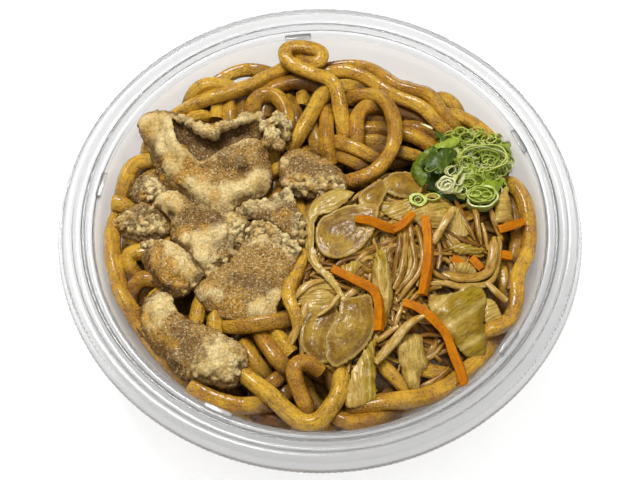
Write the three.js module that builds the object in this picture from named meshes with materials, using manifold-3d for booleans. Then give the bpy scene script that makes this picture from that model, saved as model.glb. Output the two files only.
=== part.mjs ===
// Yaki udon in a round takeaway bowl: stir-fried thick noodles under pork slices, mixed vegetables and
// chopped spring onion, in a moulded translucent bowl whose lid seat and flared skirt form the rim.
// Millimetres, +Z up, origin on the underside of the base at its centre, +Y towards the far side.

import * as THREE from 'three';
import { mergeVertices } from 'three/addons/utils/BufferGeometryUtils.js';
import Module from 'manifold-3d';

const wasm = await Module();
wasm.setup();

// Driving dimensions of the bowl.
const rimRadius = 98;
const height = 50;
const wall = 0.8;
const footRadius = 56;
const footWidth = 5;
const baseRise = 1.5;
const seatDepth = 6.5; // from the rim's top down to where the sloping wall begins
const seatRadius = 84.8; // the upright band that the lid plugs into
const seatStep = 1.4; // how far the sloping wall's top lies inside the upright band
const skirtDepth = 5.6;
const tabAngles = [24, 96, 170, 245, 323]; // degrees, anticlockwise from +X
const tab = { along: 11, inward: 2.2, tall: 4 };

// Driving dimensions of the food.
const clearance = 0.3; // between neighbouring pieces
const heapRadius = 80;
const heapCentreDepth = 3; // below the rim's top
const heapEdgeFall = 7; // how much lower the heap is at the wall than at its centre
const bundle = { height: 1.1, across: 30, along: 44 }; // the swells that tangled noodles make

// Each kind of piece: its colour, its thickness, and how far its middle lies above the heap.
const kinds = {
  pork: { colour: 0xb79a6c, thickness: 3.2, raise: 1.4 },
  cabbage: { colour: 0xa9a04e, thickness: 1.4, raise: 1.6 },
  onion: { colour: 0xb08d4c, thickness: 2, raise: 1.8 },
  carrot: { colour: 0xd87a17, thickness: 2.4, raise: 2.8 },
  springOnion: { colour: 0x7fa640, thickness: 8, raise: 3.5 },
  vegetable: { colour: 0xa3894c, thickness: 9, raise: -2 },
};
const bowlColour = 0xe4e2de;
const noodleColour = 0xb98532;

// How finely round forms are faceted.
const bowlSegments = 40;
const wallSteps = 5;
const heapRings = 8;
const facets = { small: [14, 4], medium: [18, 6], large: [24, 6] }; // around the edge, across the edge

// ---------------------------------------------------------------- solids and meshes

function solidOf(geometry) {
  const bare = new THREE.BufferGeometry();
  bare.setAttribute('position', geometry.getAttribute('position').clone());
  if (geometry.index) bare.setIndex(geometry.index.clone());
  const merged = mergeVertices(bare, 1e-3);
  const corners = Array.from(merged.index.array);
  const build = (triVerts) =>
    new wasm.Manifold(
      new wasm.Mesh({
        numProp: 3,
        vertProperties: new Float32Array(merged.attributes.position.array),
        triVerts: new Uint32Array(triVerts),
      }),
    );
  const made = build(corners);
  return made.volume() > 0 ? made : build(corners.reverse());
}

function largestPiece(solid) {
  return solid.decompose().reduce((a, b) => (a.volume() > b.volume() ? a : b));
}

function meshOf(name, solid, colour, roughness = 0.5) {
  const { vertProperties, triVerts } = solid.getMesh();
  const geometry = new THREE.BufferGeometry();
  geometry.setAttribute('position', new THREE.BufferAttribute(new Float32Array(vertProperties), 3));
  geometry.setIndex(new THREE.BufferAttribute(new Uint32Array(triVerts), 1));
  geometry.computeVertexNormals();
  const material = new THREE.MeshStandardMaterial({ color: colour, roughness, metalness: 0 });
  const mesh = new THREE.Mesh(geometry, material);
  mesh.name = name;
  return mesh;
}

// ---------------------------------------------------------------- bowl

const wallTop = height - seatDepth;
const wallTopRadius = seatRadius - seatStep;
const footLevel = wall / 2;

// Radius of the middle of the wall: rounded above the foot, nearly straight higher up.
function wallRadius(z) {
  const share = Math.max(0, (z - footLevel) / (wallTop - footLevel));
  return footRadius + (wallTopRadius - footRadius) * share ** 0.6;
}

const wallLevels = Array.from({ length: wallSteps + 1 }, (_, i) => {
  const share = (i / wallSteps) ** 1.6;
  return footLevel + (wallTop - footLevel) * share;
});

// The middle line of the moulded sheet, from the centre of the base out to the skirt's lower edge.
function middleLine() {
  const top = height - wall / 2;
  const footInside = footRadius - footWidth;
  const line = new THREE.Path();
  line.moveTo(0, footLevel + baseRise);
  line.lineTo(footInside - baseRise, footLevel + baseRise);
  line.lineTo(footInside, footLevel);
  wallLevels.forEach((z) => line.lineTo(wallRadius(z), z));
  line.lineTo(seatRadius, wallTop + 1); // ledge under the lid seat
  line.lineTo(seatRadius + 0.2, top - 1.3);
  line.quadraticCurveTo(seatRadius + 0.6, top, seatRadius + 2, top - 0.5); // inner bead
  line.lineTo(seatRadius + 3.2, top - 2);
  line.lineTo(seatRadius + 4.2, top - 2.3); // bottom of the groove
  line.lineTo(rimRadius - skirtDepth, top);
  line.lineTo(rimRadius - 3.6, top); // flat lip
  line.quadraticCurveTo(rimRadius - 2.7, top, rimRadius - 2.3, top - 0.9);
  line.lineTo(rimRadius - wall / 2, height - skirtDepth); // flared skirt
  return line.getPoints(2);
}

// The same line moved sideways by a distance, square to itself.
function offsetLine(points, distance) {
  return points.map((p, i) => {
    const before = points[Math.max(0, i - 1)];
    const after = points[Math.min(points.length - 1, i + 1)];
    const along = after.clone().sub(before).normalize();
    const moved = p.clone().add(new THREE.Vector2(-along.y, along.x).multiplyScalar(distance));
    if (i === 0) moved.x = 0; // the line starts on the axis
    if (moved.y < wall / 10) moved.y = 0; // the foot stands flat
    return moved;
  });
}

// A block inside the lid seat that snaps over the lid's edge; its lower side tapers into the wall.
function lidTab(angle) {
  const depth = tab.inward + wall;
  const block = new THREE.BoxGeometry(depth, tab.along, tab.tall);
  const { position } = block.attributes;
  for (let i = 0; i < position.count; i++) {
    const taper = position.getX(i) < 0 && position.getZ(i) < 0;
    if (taper) position.setX(i, position.getX(i) + tab.inward * 0.6);
  }
  block.translate(seatRadius + (wall - depth) / 2, 0, wallTop + 1 + tab.tall / 2);
  return solidOf(block.rotateZ(THREE.MathUtils.degToRad(angle)));
}

function bowl() {
  const middle = middleLine();
  const inside = offsetLine(middle, wall / 2);
  const outside = offsetLine(middle, -wall / 2);
  const lathe = new THREE.LatheGeometry([...outside, ...inside.reverse()], bowlSegments);
  const shell = solidOf(lathe.rotateX(Math.PI / 2));
  return tabAngles.reduce((solid, angle) => solid.add(lidTab(angle)), shell);
}

// ---------------------------------------------------------------- shapes of the food

// Level of the food's surface: highest in the middle, falling towards the wall.
function surface(x, y) {
  return height - heapCentreDepth - heapEdgeFall * (Math.hypot(x, y) / heapRadius) ** 3;
}

// Height that a fold adds at a point: a rounded ridge along the line between two points.
function fold([[x1, y1], [x2, y2], rise, width], x, y) {
  const [dx, dy] = [x2 - x1, y2 - y1];
  const share = ((x - x1) * dx + (y - y1) * dy) / (dx * dx + dy * dy);
  const along = THREE.MathUtils.clamp(share, 0, 1);
  const away = Math.hypot(x - x1 - along * dx, y - y1 - along * dy) / width;
  return rise * Math.exp(-away * away);
}

// A flat piece with a rounded edge, draped over the food inside a closed outline.
function slab({ outline, kind, lift = 0, folds = [], crown = 0, fineness = 'small' }, grow = 0) {
  const { thickness, raise } = kinds[kind];
  const [around, rings] = facets[fineness];
  const corners = outline.map(([x, y]) => new THREE.Vector3(x, y, 0));
  const edge = new THREE.CatmullRomCurve3(corners, true, 'catmullrom').getSpacedPoints(around);
  const centre = edge.slice(1).reduce((sum, p) => sum.add(p), new THREE.Vector3()).divideScalar(around);
  const ball = new THREE.SphereGeometry(1, around, rings);
  const { position } = ball.attributes;
  const squarer = (value) => Math.sign(value) * Math.abs(value) ** 0.6;
  for (let i = 0; i < position.count; i++) {
    const turn = (Math.PI * Math.floor(i / (around + 1))) / rings;
    const share = squarer(Math.sin(turn));
    const out = edge[i % (around + 1)].clone().sub(centre);
    out.setLength((out.length() + grow) * Math.max(share, 1e-9));
    const [x, y] = [centre.x + out.x, centre.y + out.y];
    const relief = folds.reduce((sum, f) => sum + fold(f, x, y), crown * (1 - share * share));
    const side = squarer(Math.cos(turn)) * (thickness / 2 + grow);
    position.setXYZ(i, x, y, surface(x, y) + raise + lift + relief + side);
  }
  return solidOf(ball);
}

// A stick or strip that follows a route over the food.
function strip({ route, kind, lift = 0, width = kinds[kind].thickness, steps = 8 }, grow = 0) {
  const { thickness, raise } = kinds[kind];
  const points = route.map(([x, y]) => new THREE.Vector3(x, y, surface(x, y) + raise + lift));
  const extrudePath = new THREE.CatmullRomCurve3(points);
  const [w, t] = [width / 2 + grow, thickness / 2 + grow];
  const section = new THREE.Shape();
  section.moveTo(-t, -w).lineTo(t, -w).lineTo(t, w).lineTo(-t, w).closePath();
  return solidOf(new THREE.ExtrudeGeometry(section, { steps, extrudePath, bevelEnabled: false }));
}

// The noodles: they fill the bowl from its floor to an uneven top, clear of the wall.
function noodleHeap() {
  const inner = (z) => wallRadius(z) - wall / 2 - clearance - 0.5;
  const floor = footLevel + baseRise + wall / 2 + clearance;
  const sides = wallLevels.filter((z) => z > floor && z < surface(heapRadius, 0));
  const profile = [new THREE.Vector2(0, floor), new THREE.Vector2(inner(floor) - 1, floor)];
  sides.forEach((z) => profile.push(new THREE.Vector2(inner(z), z)));
  const sideCount = profile.length;
  for (let ring = heapRings; ring >= 0; ring--) {
    const r = (heapRadius * ring) / heapRings;
    const rounding = ring === heapRings ? 2 : 0;
    profile.push(new THREE.Vector2(r, surface(r, 0) - rounding));
  }
  const lathe = new THREE.LatheGeometry(profile, bowlSegments).rotateX(Math.PI / 2);
  const { position } = lathe.attributes;
  const swell = (distance, spacing) => Math.sin((2 * Math.PI * distance) / spacing);
  for (let i = 0; i < position.count; i++) {
    if (i % profile.length < sideCount) continue;
    const [x, y] = [position.getX(i), position.getY(i)];
    const wave = swell(x, bundle.across) * swell(y + 8, bundle.across) + swell(x - y, bundle.along) / 2;
    position.setZ(i, position.getZ(i) + bundle.height * wave);
  }
  return solidOf(lathe);
}

// ---------------------------------------------------------------- the pieces, topmost first

// Routes and corners are places on the food, seen from above; a fold is [from, to, rise, width].
const carrots = [
  { route: [[14, 0], [23, -1], [29, -4]], lift: 1 },
  { route: [[31.5, -3.5], [34, -2], [37, 1]], lift: 1 },
  { route: [[40, 0], [40.5, -12], [38, -30]], lift: 1.2 },
  { route: [[5, -21], [18, -27], [22, -45]], lift: 1 },
  { route: [[31, -35], [44, -45], [52, -63]], lift: 1 },
  { route: [[67, -3], [75, 1]] },
];
const springOnions = [
  {
    outline: [[35, 20], [45, 34], [56, 42], [69, 36], [74, 25], [69, 12], [58, 8], [44, 13]],
    crown: 1.5,
    fineness: 'medium',
  },
];
const onions = [
  { outline: [[-1, -8], [1, -2], [11, 5], [20, 2], [16, -10], [5, -17]] },
  { outline: [[15, -33], [19, -42], [15, -54], [4, -59], [-5, -50], [-1, -40]] },
  { outline: [[16, 10], [22, 17], [30, 21], [36, 14], [27, 8], [20, 6]] },
];
const cabbages = [
  { outline: [[37, -36], [49, -30], [60, -29], [61, -39], [58, -53], [50, -51]] },
  { outline: [[17, -52], [20, -60], [19, -71], [9, -72], [13, -59]] },
  { outline: [[27, -49], [31, -46], [37, -49], [38, -58], [34, -65], [29, -56]] },
  { outline: [[23, -9], [27, -20], [26, -40], [22, -40], [20, -20]], lift: 0.4 },
  { route: [[13, 10], [4, 8], [-2.5, 1], [-4, -11], [-2, -19]], width: 5, lift: 1 },
];
const porkSlices = [
  {
    outline: [[-69, 44], [-60, 49], [-38, 45], [-18, 46], [-12, 38], [-21, 13], [-32, 4], [-54, 12],
      [-65, 28]],
    lift: 3,
    folds: [
      [[-62, 38], [-56, 22], 3.5, 8],
      [[-56, 22], [-24, 16], 3, 7],
      [[-54, 46], [-16, 42], 3, 4],
    ],
    fineness: 'large',
  },
  {
    outline: [[-45, -29], [-33, -16], [-22, 0], [-15, -4], [-9, -13], [-14, -32], [-18, -41], [-37, -38]],
    lift: 2.6,
    folds: [
      [[-40, -29], [-30, -36], 1.2, 5],
      [[-20, -4], [-12, -12], 1.2, 4],
    ],
    fineness: 'medium',
  },
  {
    outline: [[-15, 20], [-9, 6], [-5, -4], [-11, -12], [-28, -3], [-31, 3], [-20, 12]],
    lift: 1,
    folds: [[[-16, 16], [-9, 0], 1.2, 4]],
    fineness: 'medium',
  },
  {
    outline: [[-66, -11], [-59, -8], [-44, -18], [-42, -24], [-53, -31], [-62, -24]],
    lift: 2.4,
    folds: [[[-62, -12], [-46, -24], 1.5, 8]],
    fineness: 'medium',
  },
  {
    outline: [[-62, 5], [-53, 9], [-36, 6], [-29, -2], [-38, -20], [-45, -14], [-57, -3]],
    lift: 0.6,
    folds: [
      [[-60, 5], [-52, 4], 2, 5],
      [[-46, -8], [-36, -14], 1.2, 6],
    ],
    fineness: 'medium',
  },
  {
    outline: [[-28, -56], [-33, -64], [-55, -53], [-67, -38], [-60, -28], [-51, -38], [-37, -46]],
    lift: 2,
    folds: [[[-60, -36], [-34, -56], 2.5, 9]],
    fineness: 'medium',
  },
  {
    outline: [[-79, -1], [-67, 6], [-60, 3], [-58, -5], [-67, -7]],
    lift: 0.8,
    folds: [[[-74, -1], [-62, -2], 1.5, 4]],
  },
  { outline: [[-72, 11], [-67, 19], [-61, 15], [-61, 8], [-68, 7]] },
  {
    outline: [[-14, 27], [0, 31], [8, 25], [10, 16], [-8, 13]],
    lift: 1.2,
    folds: [[[-10, 20], [6, 18], 1.5, 4]],
    fineness: 'medium',
  },
];
const vegetables = [
  {
    outline: [[-4, 6], [20, 20], [64, 14], [73, 0], [66, -36], [48, -60], [16, -66], [-10, -46], [-9, -20]],
    crown: 1,
    fineness: 'large',
  },
];

function numbered(stem, kind, pieces) {
  const nameOf = (i) => (pieces.length > 1 ? `${stem}_${i + 1}` : stem);
  return pieces.map((piece, i) => ({ ...piece, kind, name: nameOf(i) }));
}

const topToBottom = [
  ...numbered('carrot', 'carrot', carrots),
  ...numbered('spring_onion', 'springOnion', springOnions),
  ...numbered('onion', 'onion', onions),
  ...numbered('cabbage', 'cabbage', cabbages),
  ...numbered('pork', 'pork', porkSlices),
  ...numbered('vegetables', 'vegetable', vegetables),
];

// Each piece is cut back from the pieces that lie on it, so that all of them keep their clearance.
function food() {
  const above = [];
  const cutBack = (solid) => largestPiece(above.reduce((rest, cutter) => rest.subtract(cutter), solid));
  const meshes = topToBottom.map((piece) => {
    const make = piece.route ? strip : slab;
    const mesh = meshOf(piece.name, cutBack(make(piece)), kinds[piece.kind].colour);
    above.push(make(piece, clearance));
    return mesh;
  });
  return [...meshes, meshOf('noodles', cutBack(noodleHeap()), noodleColour)];
}

const yakiUdon = new THREE.Group();
yakiUdon.name = 'yaki_udon';
yakiUdon.add(meshOf('bowl', bowl(), bowlColour, 0.25), ...food());

export default yakiUdon;
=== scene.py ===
"""Yaki udon in a round takeaway bowl: noodles, pork, vegetables and spring onion."""

import itertools
import math

import bmesh
import bpy
import numpy as np
from mathutils import Matrix, Vector, noise
from mathutils.bvhtree import BVHTree


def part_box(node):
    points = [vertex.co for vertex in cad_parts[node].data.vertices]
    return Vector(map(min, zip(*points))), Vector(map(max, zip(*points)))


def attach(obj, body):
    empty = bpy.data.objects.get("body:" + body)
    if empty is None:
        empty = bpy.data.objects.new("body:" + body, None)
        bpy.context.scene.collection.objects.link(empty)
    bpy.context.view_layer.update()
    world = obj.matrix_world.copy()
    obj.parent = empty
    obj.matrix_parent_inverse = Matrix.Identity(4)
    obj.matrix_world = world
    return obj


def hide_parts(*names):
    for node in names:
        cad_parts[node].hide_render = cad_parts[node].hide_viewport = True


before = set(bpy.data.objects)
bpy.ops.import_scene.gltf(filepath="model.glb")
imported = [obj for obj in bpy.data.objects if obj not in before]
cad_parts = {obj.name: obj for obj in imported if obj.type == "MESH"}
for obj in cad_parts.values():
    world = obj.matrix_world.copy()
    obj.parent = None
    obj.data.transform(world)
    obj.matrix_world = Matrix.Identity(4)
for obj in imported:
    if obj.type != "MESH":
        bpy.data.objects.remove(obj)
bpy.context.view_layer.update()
mm = 0.001

# ------------------------------------------------------------------ takeaway bowl
# The bowl is thermoformed from one sheet of translucent polypropylene. Its wall is frosted; the rim is
# glossy, with a lid seat and five snap tabs, a shallow groove, a flat lip and a skirt with fine ribs.

rim_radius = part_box("bowl")[1][0] / mm
rim_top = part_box("bowl")[1][2] / mm
sheet = 0.8
foot_radius = 56.0
base_rise = 1.5
seat_inset, seat_drop = 14.6, 6.5  # where the wall meets the lid seat, from the rim's outer top edge
wall_top = rim_top - seat_drop
wall_top_radius = rim_radius - seat_inset
tab_angles = (24, 96, 170, 245, 323)
tab_size = (2.6, 10.5, 3.4)  # inwards, along the rim and upwards
tab_inset, tab_drop = 14.0, 4.6  # its middle, from the rim's outer top edge
rib_count = 288
rib_relief = 0.16
rib_inset, rib_drop = 2.6, 1.5  # the ribs are outside and below this
bowl_sectors = 8
weld = 0.001  # points nearer to each other than this are merged


def wall_radius(z):
    """Radius of the wall's middle at a height: rounded above the foot, nearly straight higher up."""
    share = np.maximum(0.0, (z - sheet / 2) / (wall_top - sheet / 2))
    return foot_radius + (wall_top_radius - foot_radius) * share**0.6


def bowl_line():
    """The middle of the sheet as (radius, height), from the base's centre out to the skirt's lower edge."""
    low = sheet / 2
    line = [(r, low + base_rise) for r in (0, 25, foot_radius - 6.5)]
    line += [(foot_radius - 5.6, low + 1.1), (foot_radius - 5, low + 0.1), (foot_radius - 4.4, low)]
    line += [(wall_radius(z), z) for z in (low, 0.7, 1.4, 2.5, 4, 6, 9, 13, 18, 24, 30, 36, 41)]
    rim = [
        (seat_inset, seat_drop), (13.9, 5.9), (13.6, 5.2), (13.4, 3.2), (13.0, 2.7),  # lid seat
        (11.7, 2.6), (11.2, 3.0), (10.8, 3.1), (10.5, 2.6), (10.3, 1.3),  # inner step
        (9.9, 1.0), (9.5, 1.3), (9.2, 2.2),  # thin ridge
        (8.8, 2.5), (7.2, 2.6), (6.7, 2.3), (6.2, 0.9),  # shallow groove
        (5.8, 0.5), (4.6, 0.4), (3.3, 0.5), (2.6, 0.9),  # flat lip
        (2.2, 1.7), (1.3, 3.7), (0.5, 5.5),  # skirt
    ]
    return line + [(rim_radius - inwards, rim_top - down) for inwards, down in rim]


def beside(line, distance):
    """A line moved sideways by a distance, square to itself."""
    moved = []
    for i, (r, z) in enumerate(line):
        before, after = line[max(0, i - 1)], line[min(len(line) - 1, i + 1)]
        along = Vector((after[0] - before[0], after[1] - before[1])).normalized()
        moved.append((r - along.y * distance if i else 0.0, max(0.0, z + along.x * distance)))
    return moved


def spun(line, angle, steps, closed=False):
    """A bmesh swept by a line of (radius, height) that turns about the bowl's axis."""
    bm = bmesh.new()
    verts = [bm.verts.new((r, 0, z)) for r, z in line]
    edges = [bm.edges.new(pair) for pair in zip(verts, verts[1:])]
    bmesh.ops.spin(bm, geom=verts + edges, axis=(0, 0, 1), angle=angle, steps=steps, use_merge=closed)
    return bm


def to_mesh(name, bm):
    """Turns a bmesh into a mesh."""
    mesh = bpy.data.meshes.new(name)
    bm.to_mesh(mesh)
    bm.free()
    return mesh


def linked(name, data):
    """A new object in the scene."""
    made = bpy.data.objects.new(name, data)
    bpy.context.collection.objects.link(made)
    return made


def finish_piece(name, bm):
    """Turns a bmesh in millimetres into a smooth-shaded object in metres."""
    bmesh.ops.scale(bm, vec=(mm, mm, mm), verts=bm.verts)
    mesh = to_mesh(name, bm)
    mesh.shade_smooth()
    return linked(name, mesh)


def add_tab(bm, angle):
    """A bevelled block on the lid seat, cut back below, that snaps over the lid's edge."""
    made = bmesh.ops.create_cube(bm, size=1.0)["verts"]
    bmesh.ops.scale(bm, vec=tab_size, verts=made)
    undercut = [v for v in made if v.co.x < 0 and v.co.z < 0]
    bmesh.ops.translate(bm, vec=(1.4, 0, 0), verts=undercut)
    edges = list(dict.fromkeys(e for v in made for e in v.link_edges))
    rounding = {"offset": 0.5, "segments": 3, "profile": 0.5, "affect": "EDGES", "material": -1}
    rounded = bmesh.ops.bevel(bm, geom=edges, **rounding)["verts"]
    block = [v for v in {*made, *rounded} if v.is_valid]
    bmesh.ops.translate(bm, vec=(rim_radius - tab_inset, 0, rim_top - tab_drop), verts=block)
    bmesh.ops.rotate(bm, matrix=Matrix.Rotation(math.radians(angle), 3, "Z"), verts=block)
    for v in block:
        v[bm.verts.layers.float["tab"]] = 1.0


def make_bowl():
    line = bowl_line()
    outline = beside(line, -sheet / 2) + beside(line, sheet / 2)[::-1]
    turn, steps = math.tau / bowl_sectors, 2 * rib_count // bowl_sectors
    bm = spun(outline, turn, steps)
    sector = bm.verts[:] + bm.edges[:] + bm.faces[:]
    for number in range(1, bowl_sectors):
        copied = bmesh.ops.duplicate(bm, geom=sector)["geom"]
        corners = [part for part in copied if isinstance(part, bmesh.types.BMVert)]
        bmesh.ops.rotate(bm, matrix=Matrix.Rotation(number * turn, 3, "Z"), verts=corners)
    bmesh.ops.remove_doubles(bm, verts=bm.verts, dist=weld)
    for v in bm.verts:
        radius = math.hypot(v.co.x, v.co.y)
        if radius > rim_radius - rib_inset and v.co.z < rim_top - rib_drop:
            step = round(math.atan2(v.co.y, v.co.x) / math.tau * 2 * rib_count)
            v.co.xy *= 1 + (rib_relief if step % 2 else -rib_relief) / radius
    bm.verts.layers.float.new("tab")
    for angle in tab_angles:
        add_tab(bm, angle)
    bmesh.ops.recalc_face_normals(bm, faces=bm.faces)
    return finish_piece("takeaway_bowl", bm)


class Socket:
    """A node's output. Arithmetic on it adds Math nodes."""

    def __init__(self, nodes, output):
        self.nodes, self.output = nodes, output

    def maths(self, operation, first, second):
        return self.nodes.add("Math", {"operation": operation}, {0: first, 1: second})

    def __add__(self, other):
        return self.maths("ADD", self, other)

    def __radd__(self, other):
        return self.maths("ADD", other, self)

    def __sub__(self, other):
        return self.maths("SUBTRACT", self, other)

    def __rsub__(self, other):
        return self.maths("SUBTRACT", other, self)

    def __mul__(self, other):
        return self.maths("MULTIPLY", self, other)

    def __rmul__(self, other):
        return self.maths("MULTIPLY", other, self)


class Nodes:
    """A material's nodes."""

    def __init__(self, name):
        self.material = bpy.data.materials.new(name)
        self.material.use_nodes = True
        self.tree = self.material.node_tree
        self.tree.nodes.clear()
        self.place = self.add("TexCoord", {}, {}, output="Object")  # in metres

    def add(self, kind, settings, sockets, output=0):
        """Adds a node of a type, with its settings and the values or links of its sockets."""
        node = self.tree.nodes.new("ShaderNode" + kind)
        for key, value in settings.items():
            setattr(node, key, value)
        for key, value in sockets.items():
            if isinstance(value, Socket):
                self.tree.links.new(value.output, node.inputs[key])
            elif node.inputs[key].type == "RGBA":
                node.inputs[key].default_value = (*value, 1)
            else:
                node.inputs[key].default_value = value
        return Socket(self, node.outputs[output]) if node.outputs else None

    def attribute(self, name, output="Fac"):
        return self.add("Attribute", {"attribute_name": name}, {}, output=output)

    def noise(self, scale, detail, rough, where=None):
        """Noise over the object's own coordinates or over others."""
        sockets = {"Vector": where or self.place, "Scale": scale, "Detail": detail, "Roughness": rough}
        return self.add("TexNoise", {}, sockets)

    def lines(self, scale, detail, rough):
        """Noise that is drawn out along the fibres."""
        return self.noise(scale, detail, rough, self.attribute("grain", "Vector"))

    def step(self, value, low, high, start=0.0, end=1.0):
        """Rises smoothly from start to end while a value goes from low to high."""
        settings = {"interpolation_type": "SMOOTHSTEP"}
        return self.add("MapRange", settings, {0: value, 1: low, 2: high, 3: start, 4: end})

    def mix(self, factor, first, second):
        """From the first colour at factor 0 to the second at 1."""
        return self.add("Mix", {"data_type": "RGBA"}, {0: factor, 6: first, 7: second}, output=2)

    def bump(self, height, distance, strength=1.0, under=None):
        sockets = {"Height": height, "Distance": distance, "Strength": strength}
        if under is not None:
            sockets["Normal"] = under
        return self.add("Bump", {}, sockets)

    def stain(self, colour, tint, amount, value, low, high):
        """Mixes an amount of tint into a colour where a value rises from low to high."""
        return self.mix(self.step(value, low, high) * amount, colour, tint)

    def surface(self, **sockets):
        """The Principled shader with these sockets, and the finished material."""
        named = {key.replace("_", " "): value for key, value in sockets.items()}
        shader = self.add("BsdfPrincipled", {}, named)
        self.add("OutputMaterial", {}, {"Surface": shader})
        return self.material

    def flesh(self, scattering, radius, scale, **sockets):
        """A surface that light soaks into a little way, as it does in food."""
        soft = {"Subsurface_Weight": scattering, "Subsurface_Radius": radius, "Subsurface_Scale": scale}
        return self.surface(**soft, **sockets)


def translucent_plastic():
    """Nearly clear and glossy at the rim, frosted with a satin surface below it."""
    n = Nodes("translucent_polypropylene")
    height = n.add("SeparateXYZ", {}, {0: n.place}, output=2)
    frosted = n.step(height, (rim_top - 3.5) * mm, wall_top * mm)
    clear, satin, tab = (0.71, 0.71, 0.71), (0.77, 0.745, 0.715), (0.96, 0.96, 0.96)
    return n.surface(
        Base_Color=n.mix(n.attribute("tab"), n.mix(frosted, clear, satin), tab),
        Roughness=frosted * 0.35 + 0.12,
        IOR=1.49,
        Transmission_Weight=0.84,
        Normal=n.bump(n.noise(900, 2, 0.55), 0.00004, 0.2),
    )


bowl = make_bowl()
bowl.data.materials.append(translucent_plastic())
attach(bowl, "root")
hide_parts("bowl")

# ------------------------------------------------------------------ noodles
# Thick wheat noodles, boiled, fried and glazed with sauce, lie coiled loosely on each other up to the wall.
# The upper ones follow chosen routes; more wander below them, and some press against the wall all round.

noodle_width = 5.5
heap_radius = 80.0
heap_fall = 7.0
heap_top = rim_top - 3.0
link = 2.5  # distance between the points that a strand is laid out by
hidden_noodles = ((7.5, 75, 26), (12.5, 72, 24))  # depth, greatest radius, number
wall_noodle_heights = (6, 11, 16, 21, 26, 31)
core_depth = 14.5
fibre = 0.12  # how much a food's grain is shortened along its fibres
luck = np.random.default_rng(11)

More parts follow.
